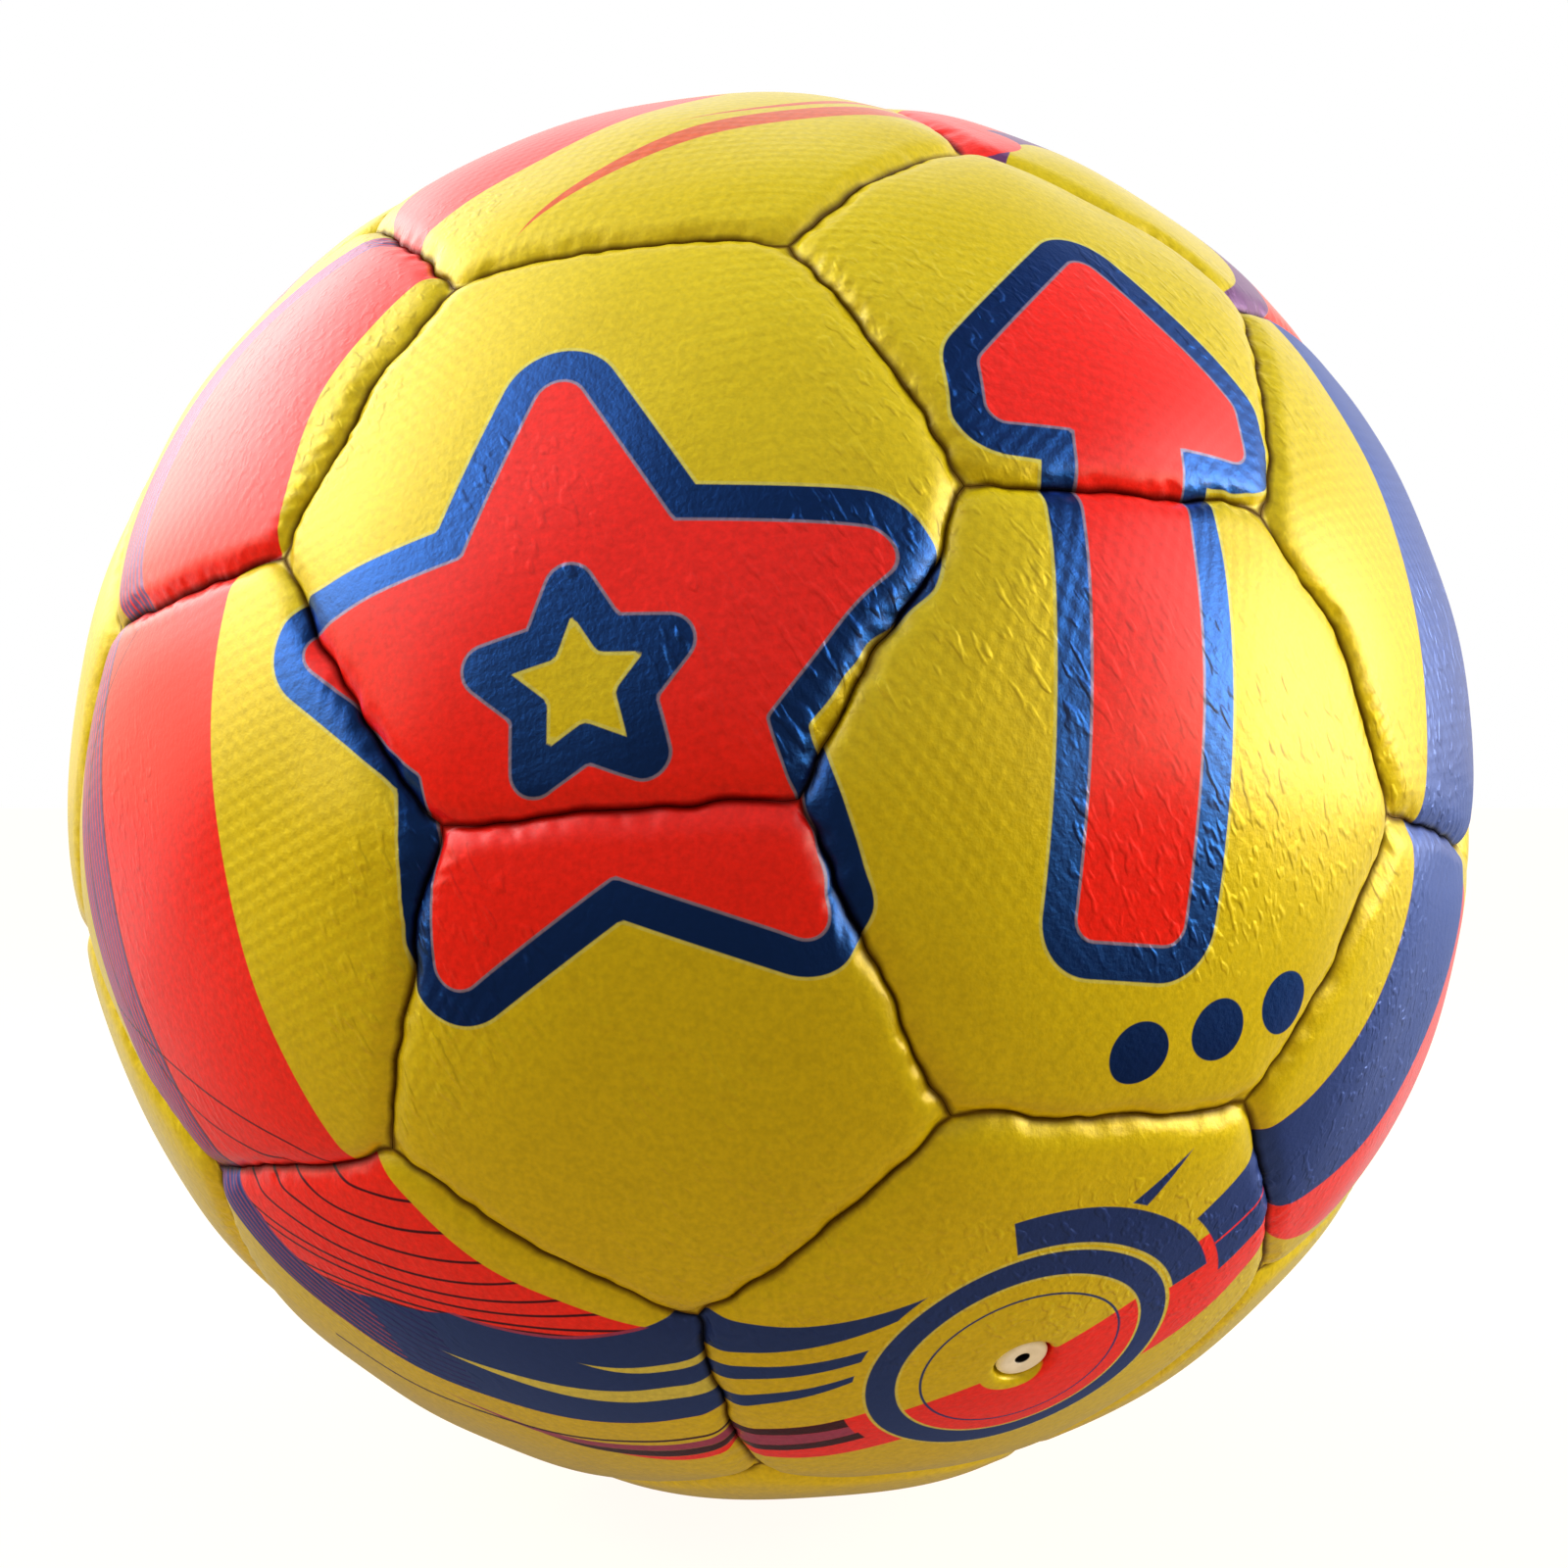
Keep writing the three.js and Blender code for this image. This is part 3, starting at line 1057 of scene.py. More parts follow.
STAR = Motif(-11.5, 7.0, 9.0, star_corners(5, 33.5, 17.0), 3.0, 0.32)
ARROW = Motif(
    25.2, 15.0, -5.0,
    ((0, 40), (15, 23), (15, 18), (4.5, 18), (4.5, -40), (-4.5, -40), (-4.5, 18), (-15, 18), (-15, 23)),
    2.5,
)


@dataclass(frozen=True)
class Leather:
    """Pearly synthetic leather: a polyurethane skin, embossed with fine lozenges and printed.

    Pressing leaves a satin face with a soft sheen, broken by the emboss, the grain and the creases.
    The pearl flakes in the inks spread a second, wider glow. Sizes are in mm.

    Attributes:
        roughness: Roughness of the skin.
        coat: Share of the clear coat on the open skin.
        coat_roughness: Roughness of that coat.
        flake_roughness: Roughness of the pearl flakes' light.
        dark: The darker of the skin's two mottled yellows, in sRGB hex.
        light: The lighter one.
        seam_shade_colour: Tint of the painted shade in the seams.
        mottle: Size of the patches of the two yellows.
        outline: Width of the navy outline of the figures.
        rim: Width of the pale line round that outline.
        hairline: Width of the lilac line inside it.
        emboss_pitch: Between neighbouring lozenges.
        emboss_patch: Size of the patches where the lozenges are pressed less deep.
        grain: Size of the pebbles of the grain.
        wrinkle: Size of the fine wrinkles.
        crease: Width of a short slanting crease.
        crease_patch: Size of the patches of such creases.
        relief: Height that the next four are shares of.
        emboss_height: Height of each of the two rows of waves that make the lozenges.
        grain_height: Height of the grain.
        wrinkle_height: Height of the fine wrinkles.
        crease_height: Height of the short creases.
    """

    roughness: float = 0.40
    coat: float = 0.8
    coat_roughness: float = 0.24
    flake_roughness: float = 0.38
    dark: str = "#dcc204"
    light: str = "#e6d20c"
    seam_shade_colour: str = "#7c6a60"
    mottle: float = 25.0
    outline: float = 4.3
    rim: float = 0.4
    hairline: float = 0.35
    emboss_pitch: float = 1.8
    emboss_patch: float = 45.4545
    grain: float = 0.55  # the real pebbles are about 0.3 mm, too fine to show
    wrinkle: float = 3.3333
    crease: float = 1.33333
    crease_patch: float = 33.3333
    relief: float = 0.055
    emboss_height: float = 0.36
    grain_height: float = 1.2
    wrinkle_height: float = 1.6
    crease_height: float = 2.6

    def material(self, name: str, sheet: PrintSheet) -> bpy.types.Material:
        """Makes the material of the panels that carry one print.

        Args:
            name: The material's name.
            sheet: The print.

        Returns:
            The material.
        """
        material, tree = new_material(name)
        colour, pearl, share = self.print_on(tree, sheet)
        relief = self.relief_of(tree)
        # Painted shade: the seams are darkened and lose their coat and flakes between the lips.
        seam_shade = self.seam_shade(tree)
        shaded_colour = {"Factor": seam_shade, "A": colour, "B": linear(self.seam_shade_colour)}
        shaded_colour = add_node(tree, "Mix", shaded_colour, "Result", data_type="RGBA", blend_type="MULTIPLY")
        gloss = add_node(tree, "MapRange", {"Value": seam_shade, "To Min": self.coat, "To Max": 0.0})
        unshaded = add_node(tree, "MapRange", {"Value": seam_shade, "To Min": 1.0, "To Max": 0.0})
        share = add_node(tree, "Math", {0: share, 1: unshaded}, operation="MULTIPLY")
        shader = add_node(tree, "BsdfPrincipled", {
            "Base Color": shaded_colour,
            "Roughness": self.roughness,
            "Specular IOR Level": 0.1,
            "Coat Weight": gloss,
            "Coat Roughness": self.coat_roughness,
            "Normal": relief,
        })
        flakes = {"Color": pearl, "Roughness": self.flake_roughness, "Normal": relief}
        layers = {0: share, 1: shader, 2: add_node(tree, "BsdfAnisotropic", flakes)}
        add_node(tree, "OutputMaterial", {"Surface": add_node(tree, "MixShader", layers)})
        return material

    def print_on(
        self, tree: bpy.types.NodeTree, sheet: PrintSheet
    ) -> tuple[bpy.types.NodeSocket, bpy.types.NodeSocket, bpy.types.NodeSocket]:
        """Adds the nodes that lay the inks on the skin, one over the other.

        Args:
            tree: The material's nodes.
            sheet: The print.

        Returns:
            The colour, the colour of the pearl flakes, and their share.
        """
        printed = add_node(tree, "Attribute", {}, "Vector", attribute_name="print")
        place = add_node(tree, "VectorMath", {0: printed}, operation="NORMALIZE")
        figure = add_node(tree, "Attribute", {}, "Fac", attribute_name="motif")
        spot = add_node(tree, "TexCoord", {}, "Object")
        layers = [(sweep.ink.value, sweep.mask(tree, place)) for sweep in sheet.sweeps]
        outlines = (
            (Ink.PALE, self.outline + self.rim),
            (Ink.OUTLINE, self.outline),
            (Ink.LILAC, self.hairline),
            (Ink.RED, 0.0),
        )
        for ink, edge in outlines:
            soft = {"Value": figure, "From Min": edge + SOFT_EDGE, "From Max": edge - SOFT_EDGE}
            layers.append((ink.value, add_node(tree, "MapRange", soft)))
        mottle = {"Vector": spot, "Scale": 1 / (self.mottle * MM), "Detail": 3.0}
        mottle = add_node(tree, "TexNoise", mottle)
        colour = {"Factor": mottle, "A": linear(self.dark), "B": linear(self.light)}
        colour = add_node(tree, "Mix", colour, "Result", data_type="RGBA")
        pearl, share = linear(Ink.SKIN.value.pearl), Ink.SKIN.value.share
        for look, mask in layers:
            inked = {"Factor": mask, "A": colour, "B": linear(look.colour)}
            colour = add_node(tree, "Mix", inked, "Result", data_type="RGBA")
            inked = {"Factor": mask, "A": pearl, "B": linear(look.pearl)}
            pearl = add_node(tree, "Mix", inked, "Result", data_type="RGBA")
            inked = {"Factor": mask, "A": share, "B": look.share}
            share = add_node(tree, "Mix", inked, "Result", data_type="FLOAT")
        pebbles = {"Vector": spot, "Scale": 1 / (self.grain * 1.4 * MM), "Detail": 2.0}
        pebbles = add_node(tree, "TexNoise", pebbles)
        tone = {"Value": pebbles, "From Min": 0.3, "From Max": 0.7, "To Min": 0.88, "To Max": 1.08}
        tone = {0: colour, "Scale": add_node(tree, "MapRange", tone)}
        return add_node(tree, "VectorMath", tone, operation="SCALE"), pearl, share

    @staticmethod
    def seam_shade(tree: bpy.types.NodeTree) -> bpy.types.NodeSocket:
        """Adds the painted shade of the seams: darker and duller towards the lips.

        Args:
            tree: The material's nodes.

        Returns:
            The painted shade, from 0 on the open skin to 1 deep between the lips.
        """
        skin = add_node(tree, "Attribute", {}, "Vector", attribute_name="skin")
        inset = add_node(tree, "SeparateXYZ", {0: skin}, "Z")
        return add_node(tree, "MapRange", {"Value": inset, "From Min": 0.8, "From Max": 0.2})

    def relief_of(self, tree: bpy.types.NodeTree) -> bpy.types.NodeSocket:
        """Adds the embossed lozenges, the grain, the fine wrinkles and the creases of the skin.

        Args:
            tree: The material's nodes.

        Returns:
            The bent normal.
        """
        spot = add_node(tree, "TexCoord", {}, "Object")
        grain = {"Vector": spot, "Scale": 1 / (self.grain * MM), "Detail": 2.0}
        height = self.emboss(tree, spot)
        upright = add_node(tree, "Mapping", {"Vector": spot, "Scale": (1.0, 1.0, 0.22)})
        wrinkle = {"Vector": upright, "Scale": 1 / (self.wrinkle * MM), "Detail": 2.0}
        for pattern, share in (
            (add_node(tree, "TexNoise", grain), self.grain_height),
            (add_node(tree, "TexNoise", wrinkle), self.wrinkle_height),
            (self.creases(tree, spot), self.crease_height),
        ):
            height = {0: pattern, 1: share, 2: height}
            height = add_node(tree, "Math", height, operation="MULTIPLY_ADD")
        return add_node(tree, "Bump", {"Height": height, "Distance": self.relief * MM})

    def emboss(self, tree: bpy.types.NodeTree, spot: bpy.types.NodeSocket) -> bpy.types.NodeSocket:
        """Adds the lozenges, which follow each panel.

        Args:
            tree: The material's nodes.
            spot: The place on the ball.

        Returns:
            Their height, as a share.
        """
        skin = add_node(tree, "Attribute", {}, "Vector", attribute_name="skin")
        u, v = (add_node(tree, "SeparateXYZ", {0: skin}, axis) for axis in "XY")
        turns = 2 * math.pi / self.emboss_pitch
        waves = []
        # Across the two rows of waves, at 72 and -48 degrees on the panel.
        for first, second in ((0.309, 0.951), (0.669, -0.743)):
            part = add_node(tree, "Math", {0: u, 1: first * turns}, operation="MULTIPLY")
            angle = {0: v, 1: second * turns, 2: part}
            angle = add_node(tree, "Math", angle, operation="MULTIPLY_ADD")
            waves.append(add_node(tree, "Math", {0: angle}, operation="COSINE"))
        lattice = add_node(tree, "Math", {0: waves[0], 1: waves[1]}, operation="ADD")
        lattice = {0: lattice, 1: self.emboss_height}
        lattice = add_node(tree, "Math", lattice, operation="MULTIPLY")
        patchy = {"Vector": spot, "Scale": 1 / (self.emboss_patch * MM), "Detail": 1.0}
        patchy = add_node(tree, "TexNoise", patchy)
        patchy = {"Value": patchy, "From Min": 0.45, "From Max": 0.62, "To Min": 0.25}
        patchy = add_node(tree, "MapRange", patchy)
        return add_node(tree, "Math", {0: lattice, 1: patchy}, operation="MULTIPLY")

    def creases(self, tree: bpy.types.NodeTree, spot: bpy.types.NodeSocket) -> bpy.types.NodeSocket:
        """Adds patches of short slanting creases.

        Args:
            tree: The material's nodes.
            spot: The place on the ball.

        Returns:
            Their height, from 0 between them to 1 on their ridges.
        """
        slant = {"Vector": spot, "Rotation": (0, math.radians(-30), 0), "Scale": (1.0, 1.0, 2.8)}
        slant = add_node(tree, "Mapping", slant, vector_type="TEXTURE")
        shares = []
        for places, size, detail, low, high in (
            (slant, self.crease, 1.0, 0.52, 0.72),
            (spot, self.crease_patch, 0.0, 0.5, 0.62),
        ):
            noise = {"Vector": places, "Scale": 1 / (size * MM), "Detail": detail}
            step = {"Value": add_node(tree, "TexNoise", noise), "From Min": low, "From Max": high}
            shares.append(add_node(tree, "MapRange", step, interpolation_type="SMOOTHSTEP"))
        return add_node(tree, "Math", {0: shares[0], 1: shares[1]}, operation="MULTIPLY")


@dataclass
class PanelSkins:
    """The 32 panels: what they are made of, how they are sewn, and what is printed on them.

    Attributes:
        layout: Where the panels lie.
        shape: Their sizes.
        seams: How their seams pull them.
        leather: Their finish.
        slip: Most that a panel's print is out of line with its neighbours', in degrees.
    """

    layout: BallLayout
    shape: PanelShape
    seams: SeamPull
    leather: Leather
    slip: float = 0.45

    def build(self) -> list[bpy.types.Object]:
        """Makes, prints and places every panel.

        Returns:
            The panels.
        """
        blanks = {
            "pentagon": PanelBlank(5, self.shape).build(),
            "hexagon": PanelBlank(6, self.shape).build(),
            "valve": PanelBlank(6, self.shape, hole_radius=3.7).build(),
        }
        finishes: dict[PrintSheet, bpy.types.Material] = {}
        random = np.random.default_rng(4)
        made = []
        for place in self.layout.places():
            panel = linked_copy(blanks[place.node.split("_")[0]])
            panel.name = place.node + "_skin"
            own = places_of(panel) / MM
            self.record_places(panel, place, own, random)
            put_places(panel, self.seams.pull(own, place.turn, place.sides, self.shape) * MM)
            sheet = self.sheet_for(place)
            if sheet not in finishes:
                name = f"printed_pu_leather_{len(finishes) + 1:02d}"
                finishes[sheet] = self.leather.material(name, sheet)
            panel.data.materials.append(finishes[sheet])
            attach(panel, "ball")
            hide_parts(place.node)
            made.append(panel)
        for blank in blanks.values():
            bpy.data.objects.remove(blank)
        return made

    def print_centre(self, place: PanelPlace) -> np.ndarray:
        """Gives a panel's middle in the frame that the print is drawn in."""
        centre = place.turn[:, 2]
        return self.layout.half_turn() @ centre if place.far else centre

    def sheet_for(self, place: PanelPlace) -> PrintSheet:
        """Finds the print of a panel.

        Args:
            place: The panel's place.

        Returns:
            Its sheet, which is plain where the print leaves it out.
        """
        centre = self.print_centre(place)
        for sheet in PRINT_SHEETS:
            if direction(sheet.azimuth, sheet.elevation) @ centre > math.cos(math.radians(12)):
                if sheet is CLIMBING_SHEET and place.far:
                    return TAPERED_SHEET
                beside_valve = sheet.azimuth == VALVE.azimuth and place.node != "valve_panel"
                return STRIPED_SHEET if beside_valve else sheet
        return PLAIN_SHEET

    def record_places(
        self,
        panel: bpy.types.Object,
        place: PanelPlace,
        own: np.ndarray,
        random: np.random.Generator,
    ) -> None:
        """Stores where each vertex lies on the skin and on the print, for the materials.

        Args:
            panel: The panel.
            place: Its place on the ball.
            own: Its vertices in its own frame, in mm.
            random: Gives the slip of its print.
        """
        insets, _ = self.shape.insets(own, place.sides)
        outward = unit(own)
        reach = np.arccos(np.clip(outward[:, 2], -1, 1)) * self.shape.radius
        size = np.linalg.norm(outward[:, :2], axis=1)
        flat = outward[:, :2] * (reach / np.maximum(size, 1e-9))[:, None]
        write_attribute(panel, "skin", np.column_stack((flat, insets.min(axis=1))))
        axis = Vector(unit(random.normal(size=3)))
        slip = Quaternion(axis, math.radians(self.slip) * random.uniform(0.3, 1.0))
        printed = outward @ place.turn.T @ np.array(slip.to_matrix()).T
        if place.far:
            printed = printed @ self.layout.half_turn().T
        write_attribute(panel, "print", printed)
        motif = np.minimum(STAR.distance(printed), ARROW.distance(printed))
        write_attribute(panel, "motif", motif)


VALVE = Round(24.1, -42.4, 0.0)


def about_valve(reach: float) -> Round:
    """Gives the circle about the valve with a reach in degrees."""
    return Round(VALVE.azimuth, VALVE.elevation, reach)


def pinstriped_band(inner: Round, pins: Round, outer: Round) -> tuple[Sweep, ...]:
    """Gives a stretch of the red band at the left, with violet pinstripes along its far edge.

    Args:
        inner: Circle at the band's near edge.
        pins: Circle where the pinstripes begin.
        outer: Circle at their end.

    Returns:
        The areas of ink.
    """
    return (
        Sweep(Ink.VIOLET, (outer,), (pins,)),
        Sweep(Ink.RED, (outer,), (pins,), 1.1, 0.3),
        Sweep(Ink.RED, (pins,), (inner,)),
    )


def upper_left_sheet() -> PrintSheet:
    """Gives the red band at the left."""
    band = pinstriped_band(Round(-2.6, 18.9, 32.8), Round(-34.0, 25.0, 21.1), Round(-36.5, 24.8, 23.4))
    return PrintSheet(-51.7, 30.6, band)


def left_sheet() -> PrintSheet:
    """Gives the next stretch of the red band, with the first of the fine fanned lines.

    Returns:
        The sheet.
    """
    inner, pins, outer = Round(19.8, 6.5, 59.9), Round(8.5, 5.0, 64.7), Round(-19.3, -1.7, 42.9)
    fan = (pins, Round(-152.3, -66.6, 76.6), Round(-37.7, -4.3, 22.0))
    return PrintSheet(-45.1, -6.2, (
        *pinstriped_band(inner, pins, outer),
        *fine_lines(Ink.MAROON, 0.3, fan, (outer,), (inner,)),
    ))


def lower_left_sheet() -> PrintSheet:
    """Gives the fanned lines over red, and the navy band with two tapers of bare skin.

    Returns:
        The sheet.
    """
    inner, outer = Round(-4.1, -7.8, 30.2), Round(-19.4, -12.6, 36.6)
    navy = (Round(-20.0, -15.9, 23.0), Round(-38.1, -28.8, 8.5), Round(-32.0, -20.0, 17.8))
    fan = (
        Round(-27.3, -12.5, 15.4), Round(-28.5, -11.1, 19.1), Round(-27.3, -7.5, 24.9),
        Round(-26.9, -3.5, 30.8), Round(-24.7, 12.1, 47.9), Round(-22.9, 17.1, 54.1),
        Round(-20.0, 44.4, 82.5), Round(161.9, -53.8, 87.5),
    )
    left, half, tail = (Round(-64.0, -38.0, reach) for reach in (15.0, 19.5, 25.0))
    low, pink, dark = Round(-20.8, -9.1, 43.5), Round(-17.6, -30.3, 23.9), Round(-16.1, -39.4, 15.9)
    return PrintSheet(-36.0, -47.3, (
        Sweep(Ink.RED, (outer,), (inner,)),
        *fine_lines(Ink.MAROON, 0.4, fan, (outer,), (inner,)),
        Sweep(Ink.NAVY, (outer,), navy),
        *fine_lines(Ink.MAGENTA, 0.5, (navy[0],), (outer,), (inner, *navy[1:])),
        Sweep(Ink.INDIGO, (outer, left), navy),
        Sweep(Ink.INDIGO, (outer, half), navy, 1.4, 0.9),
        Sweep(Ink.INDIGO, (outer, tail), navy, 1.4, 0.45),
        Sweep(Ink.MAGENTA, (outer, half), navy, 1.3, 0.35),
        Sweep(Ink.PALE, (Round(-15.4, -14.1, 31.8),), (Round(-16.9, 0.4, 44.9),)),
        Sweep(Ink.PALE, (Round(-11.9, -29.8, 12.5),), (Round(-13.8, -21.7, 20.0),)),
        Sweep(Ink.RED, (Round(-13.5, -45.6, 10.3),), (dark,)),
        Sweep(Ink.MAROON, (dark,), (pink,)),
        Sweep(Ink.MAGENTA, (pink,), (Round(-18.4, -26.3, 26.9),)),
        *fine_lines(Ink.MAROON, 0.6, (low,), (Round(-20.0, -50.0, 22.0),), ()),
    ))


def stripes(reach: float, end: Round) -> tuple[Sweep, ...]:
    """Gives the stripes that run across the valve panel.

    Args:
        reach: How far from the valve they stop, in degrees.
        end: Circle that they lie in.

    Returns:
        The stripes.
    """
    edges = (
        (Ink.NAVY, (-0.7, -7.1), (-4.9, -10.0), 0.9),
        (Ink.NAVY, (-3.3, -11.4), (-4.5, -12.9), 1.0),
        (Ink.NAVY, (-6.4, -15.0), (-9.2, -16.8), 1.0),
        (Ink.RED, (-5.2, -19.9), (-1.9, -25.0), 0.1),
        (Ink.MAROON, (-5.2, -19.9), (-3.9, -20.9), 1.8),
        (Ink.MAGENTA, (-3.9, -20.9), (-6.1, -22.9), 1.8),
        (Ink.MAROON, (-6.1, -22.9), (-5.2, -23.8), 1.6),
    )
    return tuple(
        Sweep(ink, (Round(*low, 30.0), end), (Round(*high, 30.0), about_valve(reach + gap)))
        for ink, high, low, gap in edges
    )


def valve_sheet() -> PrintSheet:
    """Gives the rings about the valve, half of them over red, and the stripes that meet them.

    Returns:
        The sheet.
    """
    split, band = Round(-24.8, 36.8, 90.9), Round(13.5, -5.2, 39.8)
    red_edge = Round(24.8, -25.3, 22.1)
    left_end, right_end = Round(-80.2, -15.1, 90.0), Round(-15.2, 40.3, 90.0)
    return PrintSheet(24.1, -42.4, (
        *stripes(11.1, Round(-30.0, -40.0, 42.0)),
        Sweep(Ink.RED, (red_edge, about_valve(25.0)), (band, about_valve(11.4))),
        Sweep(Ink.RED, (about_valve(15.4), red_edge), (right_end, about_valve(11.4))),
        Sweep(Ink.RED, (about_valve(15.7), Round(41.1, -35.4, 5.0)), (about_valve(14.5),)),
        Sweep(Ink.NAVY, (Round(67.7, -43.8, 29.3), band), (about_valve(15.6),)),
        *fine_lines(Ink.RED, 0.4, (Round(116.5, -53.0, 57.4),), (band,), (about_valve(15.6),)),
        Sweep(Ink.RED, (about_valve(9.1),), (split,)),
        Sweep(Ink.SKIN, (Round(23.4, -42.8, 2.6),)),
        Sweep(Ink.NAVY, (about_valve(11.1),), (about_valve(9.0),)),
        *fine_lines(Ink.PALE, 0.35, (about_valve(11.2), about_valve(8.95)), (), ()),
        *fine_lines(Ink.NAVY, 0.3, (about_valve(7.3),), (), ()),
        Sweep(Ink.NAVY, (about_valve(14.6), right_end), (about_valve(11.7), left_end)),
        *fine_lines(Ink.PALE, 0.35, (about_valve(11.6),), (right_end,), (left_end,)),
        Sweep(
            Ink.NAVY, (Round(142.7, -38.4, 90.0), Round(30.0, -25.0, 8.0)),
            (Round(135.4, -27.3, 90.0), about_valve(15.0)),
        ),
    ))


def right_sheet() -> PrintSheet:
    """Gives the foot of the navy band at the right, with red under it."""
    inner, navy, red = Round(26.5, -1.5, 25.6), Round(42.0, -7.0, 23.9), Round(54.8, -18.2, 16.1)
    return PrintSheet(58.6, -18.9, (Sweep(Ink.RED, (red,), (inner,)), Sweep(Ink.NAVY, (navy,), (inner,))))


def climbing_sheet(*ends: Round) -> PrintSheet:
    """Gives the navy band that climbs the right side, with red beyond it.

    Args:
        *ends: Circles that the bands are kept inside, if any.

    Returns:
        The sheet.
    """
    near = Round(-14.9, 9.6, 68.8)
    middle, far = near.grown(34.0), near.grown(44.0)
    return PrintSheet(63.4, 18.1, (
        Sweep(Ink.NAVY, (middle, *ends), (near,)),
        Sweep(Ink.RED, (far, *ends), (middle,)),
    ))


def top_sheet() -> PrintSheet:
    """Gives the red band and the two thin streaks over the top.

    Returns:
        The sheet.
    """
    return PrintSheet(-19.0, 61.4, (
        Sweep(Ink.RED, (Round(-119.2, 40.7, 58.4), Round(-22.4, 54.1, 16.8))),
        Sweep(Ink.ORANGE, (Round(21.3, 18.9, 44.4),), (Round(22.6, 6.6, 54.0),)),
        Sweep(Ink.ORANGE, (Round(-146.0, 39.9, 74.5),), (Round(-138.5, 41.0, 71.1),)),
    ))


def top_right_sheet() -> PrintSheet:
    """Gives the bands that just show over the top at the right.

    Returns:
        The sheet.
    """
    violet, navy, red = (Round(46.3, 50.1, reach) for reach in (9.7, 13.5, 22.0))
    return PrintSheet(73.2, 59.3, (
        Sweep(Ink.RED, (red,), (navy,)),
        Sweep(Ink.VIOLET, (navy,), (violet,)),
        Sweep(Ink.RED, (Round(30.5, 60.5, 4.5),)),
    ))


def dotted_sheet() -> PrintSheet:
    """Gives three navy dots below the arrow."""
    dots = (Round(25.0, -16.6, 2.2), Round(31.3, -15.4, 2.2), Round(37.4, -13.8, 2.2))
    return PrintSheet(25.4, -0.6, tuple(Sweep(Ink.OUTLINE, (dot,)) for dot in dots))


PLAIN_SHEET = PrintSheet(0.0, 0.0)
# The far panel that matches the valve panel has stripes, but no rings.
STRIPED_SHEET = PrintSheet(0.0, 0.0, stripes(0.0, Round(-25.0, -72.0, 32.0)))
# On the far half the climbing band ends in a taper.
CLIMBING_SHEET, TAPERED_SHEET = climbing_sheet(), climbing_sheet(Round(54.7, 5.2, 34.0))
PRINT_SHEETS = (
    upper_left_sheet(), left_sheet(), lower_left_sheet(), valve_sheet(), right_sheet(), CLIMBING_SHEET,
    top_sheet(), top_right_sheet(), dotted_sheet(),
)


# Thread and the pieces on the valve's axis


@dataclass(frozen=True)
class Finish:
    """A mottled finish with a fine grain, for thread, rubber and wadding.

    Attributes:
        name: What it is and how its surface was made.
        dark: Its darker colour in sRGB hex.
        light: Its lighter colour.
        patch: Size of the patches of the two colours, in mm.
        grain: Size of its grain, in mm.
        relief: Height of its grain, in mm.
        roughness: Roughness.
        stretch: Length of the grain as a share of its width.
        hole_shade: Colour of the painted shade in a hole.
    """

    name: str
    dark: str
    light: str
    patch: float
    grain: float
    relief: float
    roughness: float
    stretch: float = 1.0
    hole_shade: str = "#140e06"

    def material(self) -> bpy.types.Material:
        """Makes the material.

        Returns:
            The material, with painted shade where the piece's attribute says so.
        """
        material, tree = new_material(self.name)
        spot = add_node(tree, "TexCoord", {}, "Object")
        patches = {"Vector": spot, "Scale": 1 / (self.patch * MM), "Detail": 4.0}
        spread = {"Value": add_node(tree, "TexNoise", patches), "From Min": 0.35, "From Max": 0.65}
        colour = linear(self.dark)
        layers = (
            (add_node(tree, "MapRange", spread), self.light),
            # Painted shade in the needle hole.
            (add_node(tree, "Attribute", {}, "Fac", attribute_name="deep"), self.hole_shade),
        )
        for share, code in layers:
            blend = {"Factor": share, "A": colour, "B": linear(code)}
            colour = add_node(tree, "Mix", blend, "Result", data_type="RGBA")
        fibres = add_node(tree, "Mapping", {"Vector": spot, "Scale": (1.0, 1.0, 1 / self.stretch)})
        grain = {"Vector": fibres, "Scale": 1 / (self.grain * MM), "Detail": 3.0}
        bump = {"Height": add_node(tree, "TexNoise", grain), "Distance": self.relief * MM}
        shader = add_node(tree, "BsdfPrincipled", {
            "Base Color": colour,
            "Roughness": self.roughness,
            "Normal": add_node(tree, "Bump", bump),
        })
        add_node(tree, "OutputMaterial", {"Surface": shader})
        return material


# Wax leaves a dull olive cord whose fibres catch the light along the twist. Real fibres are about
# 0.02 mm thick, too fine to show, so they are drawn at 0.12 mm.
TWINE = Finish("waxed_twisted_polyester_twine", "#3a3008", "#5c4e12", 1.5, 0.12, 0.04, 0.45, 3.0)
# The mould leaves a satin cream face, a little yellowed, with the finest grain.
CREAM = Finish("moulded_natural_rubber", "#e8e8e0", "#f8f8f2", 2.2, 0.25, 0.02, 0.42)
# The mould leaves an even black, greyed in patches by bloom.
BLACK = Finish("moulded_black_rubber", "#1c1c1e", "#343436", 6.0, 0.3, 0.03, 0.5)
# Dipping leaves a smooth black skin with dull patches of talc.
BUTYL = Finish("dipped_butyl_rubber", "#131314", "#2c2c30", 14.0, 0.9, 0.05, 0.34)
# Carding leaves matte white fibres that lie in soft flocks. Single fibres are too fine to show, so
# the grain is that of small tufts.
WADDING = Finish("carded_fibre_wadding", "#c9c2b2", "#f0ece2", 9.0, 0.7, 0.5, 0.95, 3.0)


